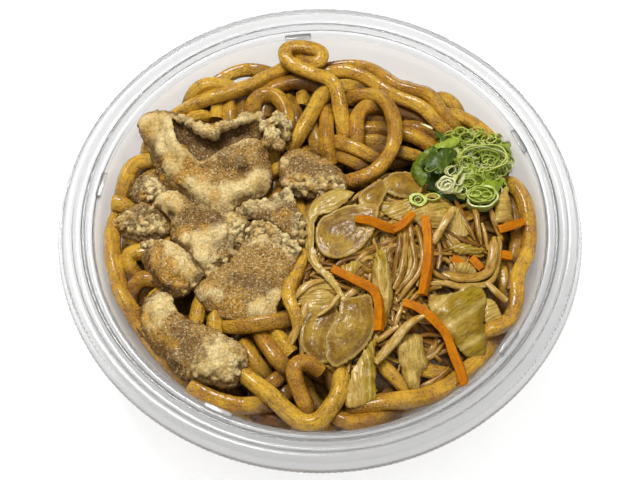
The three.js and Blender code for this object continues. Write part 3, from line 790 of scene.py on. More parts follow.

# ------------------------------------------------------------------ pork
# Thin slices of pork belly, fried: browned lean meat with pale, crumbly fat along the edges.
# They lie folded over each other on the noodles, on the left and in the middle.

# For each slice: sheets as (outline, points inside, thickness), each point (x, y, height over the heap's
# surface); lumps of fat (x, y, height, radius); spots (x, y, radius, and perhaps the greatest height) of
# fat, sear, dark meat with painted shade in the cavities, and crumbs; wrinkles (x, y, radius, direction,
# spacing); and the crumbs' relief.
pork_slices = {
    "pork_1": {
        "sheets": [
            ([(-66, 44.5, 5), (-58, 47, 5), (-50, 41.5, 5.5), (-44, 39, 6), (-37, 40, 6), (-28, 42.5, 5.5),
                (-21, 40.5, 4.5), (-22, 31, 0), (-28, 26.5, -0.5), (-38, 21.5, -0.5), (-46, 18.5, -0.5),
                (-55, 23, 0), (-61, 31.5, 0.5), (-65, 40, 1.5)], [(-40, 34.5, -0.5), (-49, 34, 0),
                (-31, 37, 0), (-36, 30.5, -0.5), (-54, 39, 1.5)], 2.2),
            ([(-70.5, 45.5, 6), (-70, 41.5, 4.5), (-68.5, 38.5, 3), (-67, 34, 2), (-65, 30.5, 1),
                (-62, 22, 0.5), (-57.5, 15, 0.5), (-51.5, 10, 0.5), (-45, 4.5, 0.5), (-36, 2.5, 1),
                (-28.5, 6.5, 1), (-21, 10, 1), (-20, 24.5, 2.5), (-22, 30, 4), (-27, 30.5, 6),
                (-32, 28.5, 7), (-38, 25, 6.5), (-45.5, 22, 5.5), (-50, 24.5, 7.5), (-54, 29, 8.5),
                (-57.5, 40, 7.5), (-60, 47.5, 5), (-65, 48, 5)], [(-63, 39.5, 5), (-61, 30, 5.5),
                (-57, 22, 5.5), (-51, 15.5, 4.5), (-45, 12, 4), (-44, 20.5, 3), (-36, 8, 4),
                (-30, 9.5, 4.5), (-25, 13, 4), (-31, 21.5, 6.5), (-27, 24, 6), (-36, 18, 3.5),
                (-29, 17, 3)], 2.4),
        ],
        "lumps": [(-57.5, 44.5, 5, 2.0), (-54, 43, 5.5, 2.3), (-50, 40.5, 6, 2.5), (-46.5, 37.5, 6.5, 2.8),
            (-43.5, 35.5, 6.5, 2.9), (-41, 34.5, 6.5, 3.0), (-39, 36.5, 6.5, 2.3), (-36.5, 38, 6, 2.4),
            (-33, 39, 6, 2.2), (-30, 41, 6, 2.5), (-27, 42, 6, 2.7), (-23.5, 41.5, 6, 2.5),
            (-20.5, 37.5, 5.5, 3.1), (-16, 40.5, 5, 3.8), (-13, 38, 4, 3.4), (-13, 34, 3.5, 2.8),
            (-18, 33, 5.5, 3.6), (-16, 29.5, 4, 3.0), (-20, 30.5, 4, 2.4)],
        "fat": [(-65, 40.5, 9), (-62, 31.5, 8), (-57, 22.5, 7), (-47, 10.5, 7), (-34, 7, 8), (-27, 9.5, 6),
            (-23, 14.5, 6), (-16, 38.5, 9), (-43, 38.5, 5), (-29, 44.5, 7), (-42, 7.5, 6), (-60, 26.5, 7)],
        "sear": [(-49, 19.5, 5), (-44, 16.5, 4), (-54, 14.5, 4), (-67, 36.5, 4), (-41, 37, 2),
            (-39, 7.5, 3.5), (-58, 48.5, 2.5), (-19.5, 37, 2), (-62, 24.5, 3)],
        "dark": [(-45, 31.5, 11, 4), (-33, 33.5, 9, 4), (-52, 37.5, 8, 4), (-28, 28.5, 6, 3.5),
            (-36, 25.5, 4.5), (-30, 20.5, 4), (-55, 46.5, 3)],
        "crumbs": [(-52, 45, 6), (-44, 39.5, 5), (-29, 45, 6), (-16, 38, 8.5), (-37, 41.5, 4)],
        "wrinkles": [(-61, 23.5, 8, 80, 1.7), (-53, 13.5, 6, 50, 1.6)],
    },
    "pork_2": {
        "sheets": [
            ([(-45, -30, 1.5), (-40, -25, 2.5), (-31, -18, 3), (-26.5, -10.5, 3.5), (-25.5, -6.5, 4),
                (-20, -4.5, 4), (-13, -10, 3.5), (-7.5, -15, 3), (-9.5, -19.5, 3), (-11, -23.5, 3),
                (-13, -29, 2), (-17, -29.5, 2), (-14, -32, 2.5), (-16, -36, 2), (-17, -42, 1.5),
                (-26, -42, 1.5), (-40, -37, 1)], [(-38, -31.5, 3.5), (-30, -35.5, 3), (-22, -37.5, 3.5),
                (-27, -28, 2.5), (-19, -30, 2.5), (-22, -19.5, 3.5), (-17, -17, 4.5), (-14, -23, 4),
                (-23, -12, 4.5), (-33, -24.5, 3.5)], 2.3),
        ],
        "lumps": [(-26, -8, 4.5, 1.8), (-24, -6, 5, 1.9), (-21.5, -5.5, 5, 2.0), (-19, -8, 5, 2.0),
            (-16, -9.5, 5, 2.1), (-13, -11.5, 4.5, 2.0), (-10, -13.5, 4, 1.9), (-8, -15.5, 3.5, 1.7),
            (-22, -9, 5, 1.6), (-25.5, -11.5, 4, 1.5)],
        "fat": [(-42, -31.5, 4), (-21, -39.5, 6), (-16, -33.5, 4), (-20, -6.5, 8), (-10, -14.5, 5),
            (-26, -8.5, 5), (-16, -39.5, 5), (-37, -33.5, 3)],
        "sear": [(-35, -37.5, 4.5), (-30, -39.5, 4), (-39, -35.5, 3.5), (-41, -29.5, 3), (-31, -36.5, 3.5)],
        "dark": [(-25, -28.5, 4), (-20, -30, 4), (-31, -26.5, 3)],
        "crumbs": [(-22, -7, 6), (-14, -10.5, 5), (-9, -14.5, 4), (-25.5, -10.5, 4)],
    },
    "pork_3": {
        "sheets": [
            ([(-14, 10, 2.5), (-11.5, 9, 2.5), (-9.5, 3, 2.5), (-6.5, -2, 2), (-7, -12.5, 2),
                (-13, -9.5, 2), (-17, -5.5, 2), (-20.5, -1.5, 1.5), (-27, -0.5, 0.5), (-31.5, 1.5, 0),
                (-30, 4.5, 0.5), (-20, 6, 1.5)], [(-13, 1.5, 3.5), (-9.5, -4.5, 3.5), (-16, 1.5, 2),
                (-24, 2.5, 2), (-13, -4, 2.5)], 2.2),
        ],
        "lumps": [(-30, 2.5, 1.5, 1.7), (-28, 4, 2, 1.8), (-26, 4.5, 2, 1.8), (-29, 1, 1, 1.5),
            (-23.5, 5.5, 2, 1.5), (-20.5, 6, 2.5, 1.5), (-12.5, 9.5, 3, 1.6), (-16, 6.5, 3, 1.4),
            (-6.5, -5, 3, 1.6), (-6, -8.5, 3, 1.6), (-7, -11.5, 2.5, 1.6), (-8, -1, 3, 1.4)],
        "fat": [(-28, 2.5, 6), (-13, 8, 5), (-6.5, -8, 5), (-20, 5, 4), (-8, -2, 4), (-17, 4, 3)],
        "sear": [(-13, -1, 3)],
        "dark": [(-13, 2, 5), (-21, 0.5, 4), (-11, -4, 4), (-24, 0, 3.5)],
        "crumbs": [(-27.5, 2.5, 5.5), (-6.5, -8, 4.5), (-15, 7, 4.5), (-8, -1, 3)],
    },
    "pork_4": {
        "sheets": [
            ([(-65.5, -13.5, 1), (-66, -10, 1.5), (-61, -10, 2.5), (-56, -11, 3), (-51, -14.5, 3),
                (-46, -19, 2.5), (-43, -23.5, 1.5), (-47, -29, 0.5), (-51.5, -31, 0), (-56, -29, 0),
                (-64.5, -18, 0.5)], [(-60, -17.5, 4.5), (-56, -21, 5.5), (-52, -23, 5.5), (-48, -24, 4),
                (-56, -26, 4), (-51, -27.5, 3)], 2.6),
        ],
        "lumps": [(-65, -11, 2, 1.5), (-63, -10.5, 3, 1.4), (-59, -11, 3.5, 1.3), (-53.5, -13.5, 3.5, 1.4),
            (-49.5, -30, 1, 1.6), (-46, -28, 1.5, 1.4)],
        "fat": [(-49, -19.5, 6), (-54, -13.5, 5), (-45, -24.5, 5), (-64, -11.5, 3), (-48, -30.5, 4)],
        "sear": [(-51, -28, 3.5), (-59, -14.5, 3.5), (-57, -23.5, 5), (-61, -19.5, 4), (-54, -21.5, 4)],
        "dark": [(-57, -27.5, 4)],
        "crumbs": [(-64, -11, 3), (-48, -30.5, 3.5)],
        "wrinkles": [(-47, -22.5, 6, 35, 1.5)],
    },
    "pork_5": {
        "sheets": [
            ([(-62.5, 5.5, 2.5), (-61, 8, 3.5), (-57.5, 10, 4), (-53, 9, 3.5), (-49, 6.5, 1.5), (-40, 4, 0),
                (-34, 2.5, 0.5), (-28, -1, 1.5), (-25.5, -7, 1.5), (-28, -13.5, 1), (-34, -19.5, 1),
                (-41, -24.5, 1), (-46, -20, 1.5), (-49.5, -14, 1.5), (-55, -6, 0), (-54.5, -1, 0),
                (-57.5, 3, 0.5)], [(-57, 4, 6), (-52, 4.5, 3.5), (-44.5, 0, 0), (-39.5, -0.5, 0),
                (-50, -3.5, 1), (-38, -6, 3.5), (-44, -11, 4), (-34, -9.5, 3), (-44, -17, 4),
                (-38, -15.5, 3), (-50, -9, 2.5)], 2.3),
        ],
        "lumps": [(-38, -22, 2, 1.9), (-34.5, -19, 2, 1.8), (-31, -16, 2, 1.8), (-28.5, -12, 2.5, 1.7),
            (-40.5, -24, 2, 1.6), (-29, -6.5, 3, 1.5), (-33, -13.5, 3, 1.6), (-30, -2.5, 2, 1.5)],
        "fat": [(-56.5, 5.5, 6), (-42, -10.5, 8), (-38, -6.5, 5), (-45, -17.5, 6), (-34, -0.5, 3.5),
            (-38, -21.5, 5), (-50, -9.5, 3), (-55, 1.5, 4)],
        "sear": [(-57, 5.5, 1.7), (-49, -5.5, 3), (-43, -4.5, 3), (-52, -6.5, 3)],
        "dark": [(-45, -1, 7), (-39, -2.5, 5), (-33, -11.5, 4), (-37, -13.5, 3), (-50, -1, 4)],
        "crumbs": [(-37, -21.5, 5), (-29, -12.5, 6), (-30, -5.5, 5)],
        "wrinkles": [(-56, 8.5, 5, 120, 1.5)],
    },
    "pork_6": {
        "sheets": [
            ([(-59.5, -29.5, 1.5), (-55, -31.5, 2), (-52, -38, 2.5), (-48.5, -41.5, 2.5), (-41, -45, 2.5),
                (-36.5, -47.5, 2.5), (-39, -53.5, 3), (-44, -59.5, 2.5), (-48, -61.5, 0.5),
                (-54, -55.5, 0.5), (-60.5, -49, 0.5), (-65, -43.5, 0.5), (-66, -38.5, 0.5),
                (-63.5, -33, 1)], [(-59, -38.5, 4.5), (-56, -44.5, 4.5), (-52, -45.5, 3), (-47, -49, 3.5),
                (-43, -52, 3.5), (-50, -54.5, 3), (-62, -40.5, 3)], 2.5),
            ([(-37.5, -47, 3), (-33, -49, 3), (-26, -57, 2), (-28.5, -62, 1.5), (-30, -65, 1.5),
                (-40, -63.5, 1.5), (-46, -61, 1.5), (-46.5, -59, 2.5), (-38.5, -51.5, 4)], [(-36, -55, 5.5),
                (-38, -60, 5.5), (-32, -57.5, 5), (-33, -62, 4), (-41, -60.5, 4.5)], 2.6),
        ],
        "lumps": [(-36, -51.5, 4.5, 2.0), (-33, -55, 5, 2.2), (-38, -57, 5, 2.3), (-41.5, -60, 4.5, 2.2),
            (-35.5, -60.5, 5, 2.4), (-30.5, -58, 4, 2.1), (-32, -63, 3, 2.1), (-37, -63, 3, 1.9),
            (-29, -61.5, 3, 1.6), (-43.5, -61.5, 3, 1.6)],
        "fat": [(-59, -36.5, 7), (-61, -42.5, 5), (-36, -56.5, 10), (-31, -58.5, 7), (-41, -60.5, 6),
            (-54, -35.5, 4)],
        "sear": [(-60, -46.5, 4), (-56, -48.5, 3.5), (-63, -40.5, 3), (-52, -50.5, 2.5)],
        "dark": [(-47, -51.5, 6.5), (-50, -45.5, 5), (-43, -55.5, 4), (-53, -55.5, 4)],
        "crumbs": [(-36, -57.5, 8), (-30, -58.5, 6), (-40, -60.5, 5)],
        "relief": 0.4,
    },
    "pork_7": {
        "sheets": [
            ([(-79, 1, 0), (-72, 5.5, 1), (-66, 7, 1.5), (-59, 0.5, 1), (-57, -4.5, 0.5), (-60, -7.5, 0.5),
                (-66, -7.5, 0.5), (-72, -5, 0)], [(-68, -0.5, 3), (-62, -1.5, 2.5), (-73, 0, 2)], 2.3),
        ],
        "lumps": [(-77, 0.5, 1, 1.6), (-74.5, 2, 1.5, 1.7), (-71.5, 2.5, 2, 1.8), (-68.5, 4.5, 2, 1.8),
            (-65.5, 1.5, 3, 2.2), (-62.5, 0, 3, 2.1), (-60.5, -3, 2.5, 2.0), (-63.5, -5, 2.5, 2.0),
            (-67, -5, 2, 1.9), (-70.5, -3.5, 2, 1.9), (-74, -2, 1, 1.6), (-63, 4, 2.5, 1.6),
            (-59, -5.5, 2, 1.6)],
        "fat": [(-65, -0.5, 5), (-75, -0.5, 5), (-62, -4.5, 5), (-70, -4.5, 4)],
        "sear": [(-77, -0.5, 2.5), (-72, 1.5, 2)],
        "dark": [(-67, 3.5, 4), (-60, -7.5, 3), (-70, -0.5, 3.5), (-66, -7.5, 3)],
        "crumbs": [(-65, -1.5, 8), (-73, -1, 6)],
    },
    "pork_8": {
        "sheets": [
            ([(-72, 13, 0), (-71.5, 17.5, 0), (-68, 20, 0.5), (-63, 20, 0.5), (-60, 16.5, 0.5),
                (-58, 12.5, 0.5), (-60.5, 9, 0), (-66, 8.5, 0), (-70, 10, -0.5)], [(-66, 15, 1.5),
                (-62, 12.5, 1)], 2.2),
        ],
        "lumps": [(-66, 18.5, 1, 1.8), (-63, 16.5, 1.5, 1.9), (-67, 15, 1.5, 1.8), (-61.5, 14, 1.5, 1.8),
            (-64.5, 12.5, 1.5, 2.0), (-60.5, 11.5, 1, 1.7), (-68, 12, 1, 1.7), (-64, 9.5, 1, 1.7),
            (-69.5, 18, 0.5, 1.5)],
        "fat": [(-63, 13.5, 5), (-62, 10.5, 4)],
        "sear": [(-67, 10.5, 3)],
        "dark": [(-71, 13.5, 4), (-69, 17.5, 4), (-68, 12.5, 3)],
        "crumbs": [(-65, 13, 8)],
    },
    "pork_9": {
        "sheets": [
            ([(-14.5, 23, 1.5), (-13, 26.5, 2), (-10, 27.5, 2.5), (-5, 27, 2), (3, 22.5, 2), (7, 19, 1.5),
                (9.5, 10.5, 1), (-3, 8.5, 1), (-14, 12, 1)], [(-9, 22.5, 3), (-3, 20.5, 2.5), (3, 17, 3),
                (-10, 17, 2), (-4, 14.5, 2.5), (3, 11.5, 2.5)], 2.2),
        ],
        "lumps": [(-13, 13.5, 2.5, 2.0), (-10.5, 12.5, 3, 2.2), (-7.5, 11.5, 3, 2.1), (-4.5, 12, 3.5, 2.3),
            (-1.5, 11, 3, 2.3), (2, 11.5, 3.5, 2.4), (5, 11, 3, 2.2), (8, 11, 2.5, 1.9), (-6, 15, 3, 1.6),
            (0.5, 14, 3.5, 1.8), (4.5, 15, 3, 1.7), (-11.5, 10.5, 2, 1.7), (-6, 9.5, 2, 1.7),
            (0.5, 9, 2, 1.7), (-14, 24, 2, 1.4), (-14.5, 20, 2, 1.4), (-11, 26.5, 2, 1.3)],
        "fat": [(-8, 12.5, 6), (0, 12.5, 6), (6, 12, 5), (-14, 22.5, 2.5)],
        "sear": [(-11, 14.5, 2.5), (4, 9.5, 2.5), (-3, 9.5, 2.5)],
        "dark": [(-8, 21.5, 4.5), (-3, 19.5, 4), (3, 18.5, 4)],
        "crumbs": [(-8, 11.5, 5.5), (0, 11.5, 5.5), (6, 11.5, 4.5)],
    },
}


def is_inside(x, y, outline):
    """Which of the points are inside a closed outline."""
    inside = np.zeros(np.shape(x), bool)
    for (x0, y0), (x1, y1) in zip(outline, np.roll(outline, -1, axis=0)):
        if y0 != y1:
            inside ^= ((y0 > y) != (y1 > y)) & (x < (x1 - x0) * (y - y0) / (y1 - y0) + x0)
    return inside


def closed_line(outline, spacing):
    """Evenly spaced points on a smooth closed curve through an outline's points."""
    return smooth_route([*outline, outline[0]], spacing)[:-1]


def edge_distance(x, y, outline):
    """Distance from each point to the nearest of an outline's points."""
    gaps = (x[..., None] - outline[:, 0]) ** 2 + (y[..., None] - outline[:, 1]) ** 2
    return np.sqrt(gaps.min(axis=-1))


def blended_height(x, y, anchors, weights):
    """Height at each point: the nearer anchors count the most."""
    square = (x[..., None] - anchors[:, 0]) ** 2 + (y[..., None] - anchors[:, 1]) ** 2
    share = weights / (square + 0.6) ** 1.6
    return (share * anchors[:, 2]).sum(axis=-1) / share.sum(axis=-1)


def add_sheet(bm, outline, peaks, thickness, cell=0.7, grown=0.9):
    """A closed sheet over an outline, curved through the heights of its edge and of the points inside."""
    edge = closed_line(outline, 1.5)
    anchors = np.vstack([edge, np.array(peaks, float).reshape(-1, 3)])
    weights = np.array([1.0] * len(edge) + [9.0] * len(peaks))
    low, high = edge.min(axis=0) - 2 * cell, edge.max(axis=0) + 2 * cell
    x, y = np.meshgrid(*(np.arange(low[k], high[k], cell) for k in (0, 1)), indexing="ij")
    filled = is_inside(x + cell / 2, y + cell / 2, edge[:, :2])
    filled |= edge_distance(x + cell / 2, y + cell / 2, edge) < grown
    level = heap_surface(x, y) + blended_height(x, y, anchors, weights)
    within = np.where(is_inside(x, y, edge[:, :2]), edge_distance(x, y, edge), 0) + 0.6
    half = thickness / 2 * np.sqrt(np.clip(within / 2, 0.15, 1))
    verts = {}

    def corner(i, j, side):
        if (i, j, side) not in verts:
            verts[i, j, side] = bm.verts.new((x[i, j], y[i, j], level[i, j] + side * half[i, j]))
        return verts[i, j, side]

    for i, j in zip(*np.nonzero(filled)):
        ring = [(i, j), (i + 1, j), (i + 1, j + 1), (i, j + 1)]
        bm.faces.new([corner(*c, 1) for c in ring])
        bm.faces.new([corner(*c, -1) for c in reversed(ring)])
        beyond = [(i, j - 1), (i + 1, j), (i, j + 1), (i - 1, j)]
        for k in range(4):
            if not filled[beyond[k]]:
                a, b = ring[k], ring[(k + 1) % 4]
                bm.faces.new((corner(*a, -1), corner(*b, -1), corner(*b, 1), corner(*a, 1)))


def add_ball(bm, x, y, height, radius):
    """A ball with its middle at a height over the heap's surface."""
    place = Matrix.Translation((x, y, heap_surface(x, y) + height))
    bmesh.ops.create_icosphere(bm, subdivisions=2, radius=radius, matrix=place)


def fused(name, bm, voxel, rounds):
    """Melts overlapping closed solids into one even skin and smooths it. Millimetres."""
    lump = linked(name, to_mesh(name, bm))
    loose = lump.data
    remesh = lump.modifiers.new("remesh", "REMESH")
    remesh.mode, remesh.voxel_size = "VOXEL", voxel
    even = final_mesh(lump)
    bm = bmesh.new()
    bm.from_mesh(even)
    for mesh in (loose, even):
        bpy.data.meshes.remove(mesh)
    axes = {"use_axis_x": True, "use_axis_y": True, "use_axis_z": True}
    for _ in range(rounds):
        bmesh.ops.smooth_vert(bm, verts=bm.verts, factor=0.5, **axes)
    bm.normal_update()
    return bm


def places_of(bm):
    return np.array([v.co for v in bm.verts])


def spotted(places, spots):
    """How strongly each place is covered by spots: x, y, radius and perhaps a greatest height."""
    cover = np.zeros(len(places))
    level = places[:, 2] - heap_surface(places[:, 0], places[:, 1])
    for x, y, radius, *top in spots:
        away = np.hypot(places[:, 0] - x, places[:, 1] - y) / radius
        spot = np.clip(1.6 - 1.6 * away**2, 0, 1)
        cover = np.maximum(cover, spot * np.clip((top[0] - level) / 1.2, 0, 1) if top else spot)
    return cover


def hollowness(places, reach, around=None):
    """How far each place lies below the mean level round it (over 0) or above it (under 0)."""
    cell = 0.5
    pad = round(2 * reach / cell)
    low = places[:, :2].min(axis=0) - pad * cell
    i, j = ((places[:, :2] - low) / cell).astype(int).T
    level = np.full((i.max() + pad + 1, j.max() + pad + 1), -np.inf)
    others = places if around is None else around
    k, l = np.clip(((others[:, :2] - low) / cell).astype(int), 0, np.array(level.shape) - 1).T
    np.maximum.at(level, (k, l), others[:, 2])
    known = np.isfinite(level).astype(float)
    level[known == 0] = 0
    kernel = np.exp(-((np.arange(-pad, pad + 1) * cell / reach) ** 2))
    for axis in (0, 1):
        level = np.apply_along_axis(np.convolve, axis, level, kernel, "same")
        known = np.apply_along_axis(np.convolve, axis, known, kernel, "same")
    return level[i, j] / known[i, j] - places[:, 2]


def cobbles(place, size):
    """Rounded lumps set side by side: 1 on top of a lump, 0 in the creases between them."""
    near, next_near = noise.voronoi(place / size)[0][:2]
    return min(1.0, (next_near - near) * 1.6) ** 0.6


def wrinkled(place, x, y, radius, direction, spacing):
    """Parallel ridges in a round spot."""
    along = math.radians(direction)
    across = (place.x - x) * math.cos(along) + (place.y - y) * math.sin(along)
    away = math.hypot(place.x - x, place.y - y) / radius
    wave = math.sin(math.tau * across / spacing + 2 * noise.noise(place / 5))
    return 0.22 * max(0, 1 - away) * wave


def shape_pork(name, details):
    """A slice's skin, with how crumbly it is and how deep in a crease at each point."""
    bm = bmesh.new()
    for outline, peaks, thickness in details["sheets"]:
        add_sheet(bm, outline, peaks, thickness)
    for lump in details["lumps"]:
        add_ball(bm, *lump)
    bm = fused(name, bm, voxel=0.42, rounds=2)
    crumbly = spotted(places_of(bm), details["crumbs"])
    relief = details.get("relief", 1)
    creases = []
    for v, crumb in zip(bm.verts, crumbly):
        swell = 0.5 * noise.noise(v.co / 6) + 0.35 * noise.noise(v.co / 2.6)
        for spot in details.get("wrinkles", ()):
            swell += wrinkled(v.co, *spot)
        warped = v.co + 1.2 * noise.noise_vector(v.co / 2.5)
        lumps = 0.55 * cobbles(warped, 3.4) + 0.3 * cobbles(warped, 1.7) + 0.15 * cobbles(v.co, 0.9)
        swell += crumb * relief * (1.5 * lumps - 0.9) + (1 - crumb) * 0.14 * lumps
        # crease: how deep a point lies between crumbs; it drives painted shade.
        creases.append((0.15 + 0.85 * crumb * relief**0.5) * (1 - lumps))
        v.co += v.normal * (swell + (0.14 + 0.2 * crumb) * noise.noise(v.co))
    return bm, crumbly, creases


def make_pork(name, details, bm, crumbly, creases, around):
    places = places_of(bm)
    wide, narrow = (hollowness(places, reach, around) for reach in (3.0, 1.2))
    piece = finish_food(name, bm)
    # shade: how deep a point lies in a hollow, also beside and under other slices; it drives painted shade.
    values = {"crease": creases, "shade": np.clip(0.5 + (0.3 * wide + 0.25 * narrow), 0, 1)}
    values.update({kind: spotted(places, details[kind]) for kind in ("fat", "sear", "dark")})
    values["fat"] = np.maximum(0.8 * values["fat"], crumbly)
    for kind, value in values.items():
        piece.data.attributes.new(kind, "FLOAT", "POINT").data.foreach_set("value", value)
    return piece


def fried_pork():
    """Fried pork: tan lean, paler fat, golden-brown sear, dark grains, with painted shade and painted
    glints.
    """
    n = Nodes("fried_pork")
    ragged = n.noise(260, 5, 0.7)
    coarse = n.noise(100, 4, 0.65)
    shade = n.attribute("shade") + (ragged - 0.5) * 0.3
    uneven = coarse - 0.5
    # Fat from the spots, with painted light: paler on ridges and less pale in hollows.
    fat = n.step(n.attribute("fat") + uneven * 1.2 + (0.5 - shade) * 0.8, -0.2, 1.1)
    lean_colour = n.mix(n.step(coarse, 0.35, 0.65), (0.50, 0.275, 0.058), (0.35, 0.18, 0.03))
    fat_colour = n.mix(n.step(coarse, 0.35, 0.7), (1.0, 0.80, 0.39), (0.82, 0.55, 0.17))
    colour = n.mix(fat, lean_colour, fat_colour)
    # Dark meat in the spots, darkened further as painted shade in the cavities under the lips.
    dark = n.attribute("dark") + uneven * 1.6
    colour = n.stain(colour, (0.20, 0.11, 0.04), 0.7, dark, -0.1, 1.1)
    sear = n.attribute("sear") + uneven * 2.4 + (ragged - 0.5) * 1.4
    seared = n.mix(ragged, (0.45, 0.18, 0.012), (0.78, 0.44, 0.06))
    colour = n.stain(colour, seared, 0.8, sear, 0.0, 1.3)
    # Painted shade in hollows and along the edges of slices that lie on others.
    colour = n.stain(colour, (0.10, 0.043, 0.007), 0.85, shade, 0.46, 0.95)
    grain = n.step(n.noise(1250, 4, 0.8), 0.5, 0.58)
    colour = n.mix(grain * (0.82 - fat * 0.5), colour, (0.09, 0.036, 0.005))
    # Painted highlights: pale flecks standing in for sparkles, fewer in hollows.
    pale = n.step(n.noise(1150, 4, 0.8), 0.54, 0.62)
    colour = n.mix(pale * (1.0 - shade * 0.7), colour, (1.0, 0.84, 0.50))
    # Painted shade in the creases between crumbs of fat.
    colour = n.stain(colour, (0.10, 0.043, 0.007), 0.8, n.attribute("crease"), 0.3, 1.0)
    return n.flesh(
        0.08, (1.0, 0.5, 0.25), 0.001,
        Base_Color=colour,
        Roughness=n.step(ragged, 0.3, 0.7, 0.38, 0.6),
        Specular_IOR_Level=0.15,
        Normal=n.bump(grain, 0.0004, 0.5, n.bump(ragged, 0.0015, 0.45)),
    )


noise.seed_set(3)  # without a seed, noise_vector differs from run to run
pork_material = fried_pork()
shaped = {node: shape_pork(node, details) for node, details in pork_slices.items()}
around = np.vstack([places_of(bm) for bm, _, _ in shaped.values()])
for node, parts in shaped.items():
    piece = make_pork(node.replace("pork", "pork_slice"), pork_slices[node], *parts, around)
    piece.data.materials.append(pork_material)
    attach(piece, "root")
    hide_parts(node)

# ------------------------------------------------------------------ vegetables
# Bean sprouts and thin strips of cabbage and onion, wilted and brown with sauce, heaped on the right.
# Those that show follow chosen routes; others fill the heap, over a lump painted nearly black as shade.

heap_outline = [(-8, -28), (-4, -18), (-4, -6), (-2, 4), (6, 10), (18, 14), (32, 16), (44, 12), (56, 10),
    (68, 8), (72, 0), (71, -14), (69, -28), (65, -40), (60, -52), (52, -60), (42, -64), (32, -64),
    (22, -66), (12, -66), (4, -58), (-4, -54), (-8, -44)]
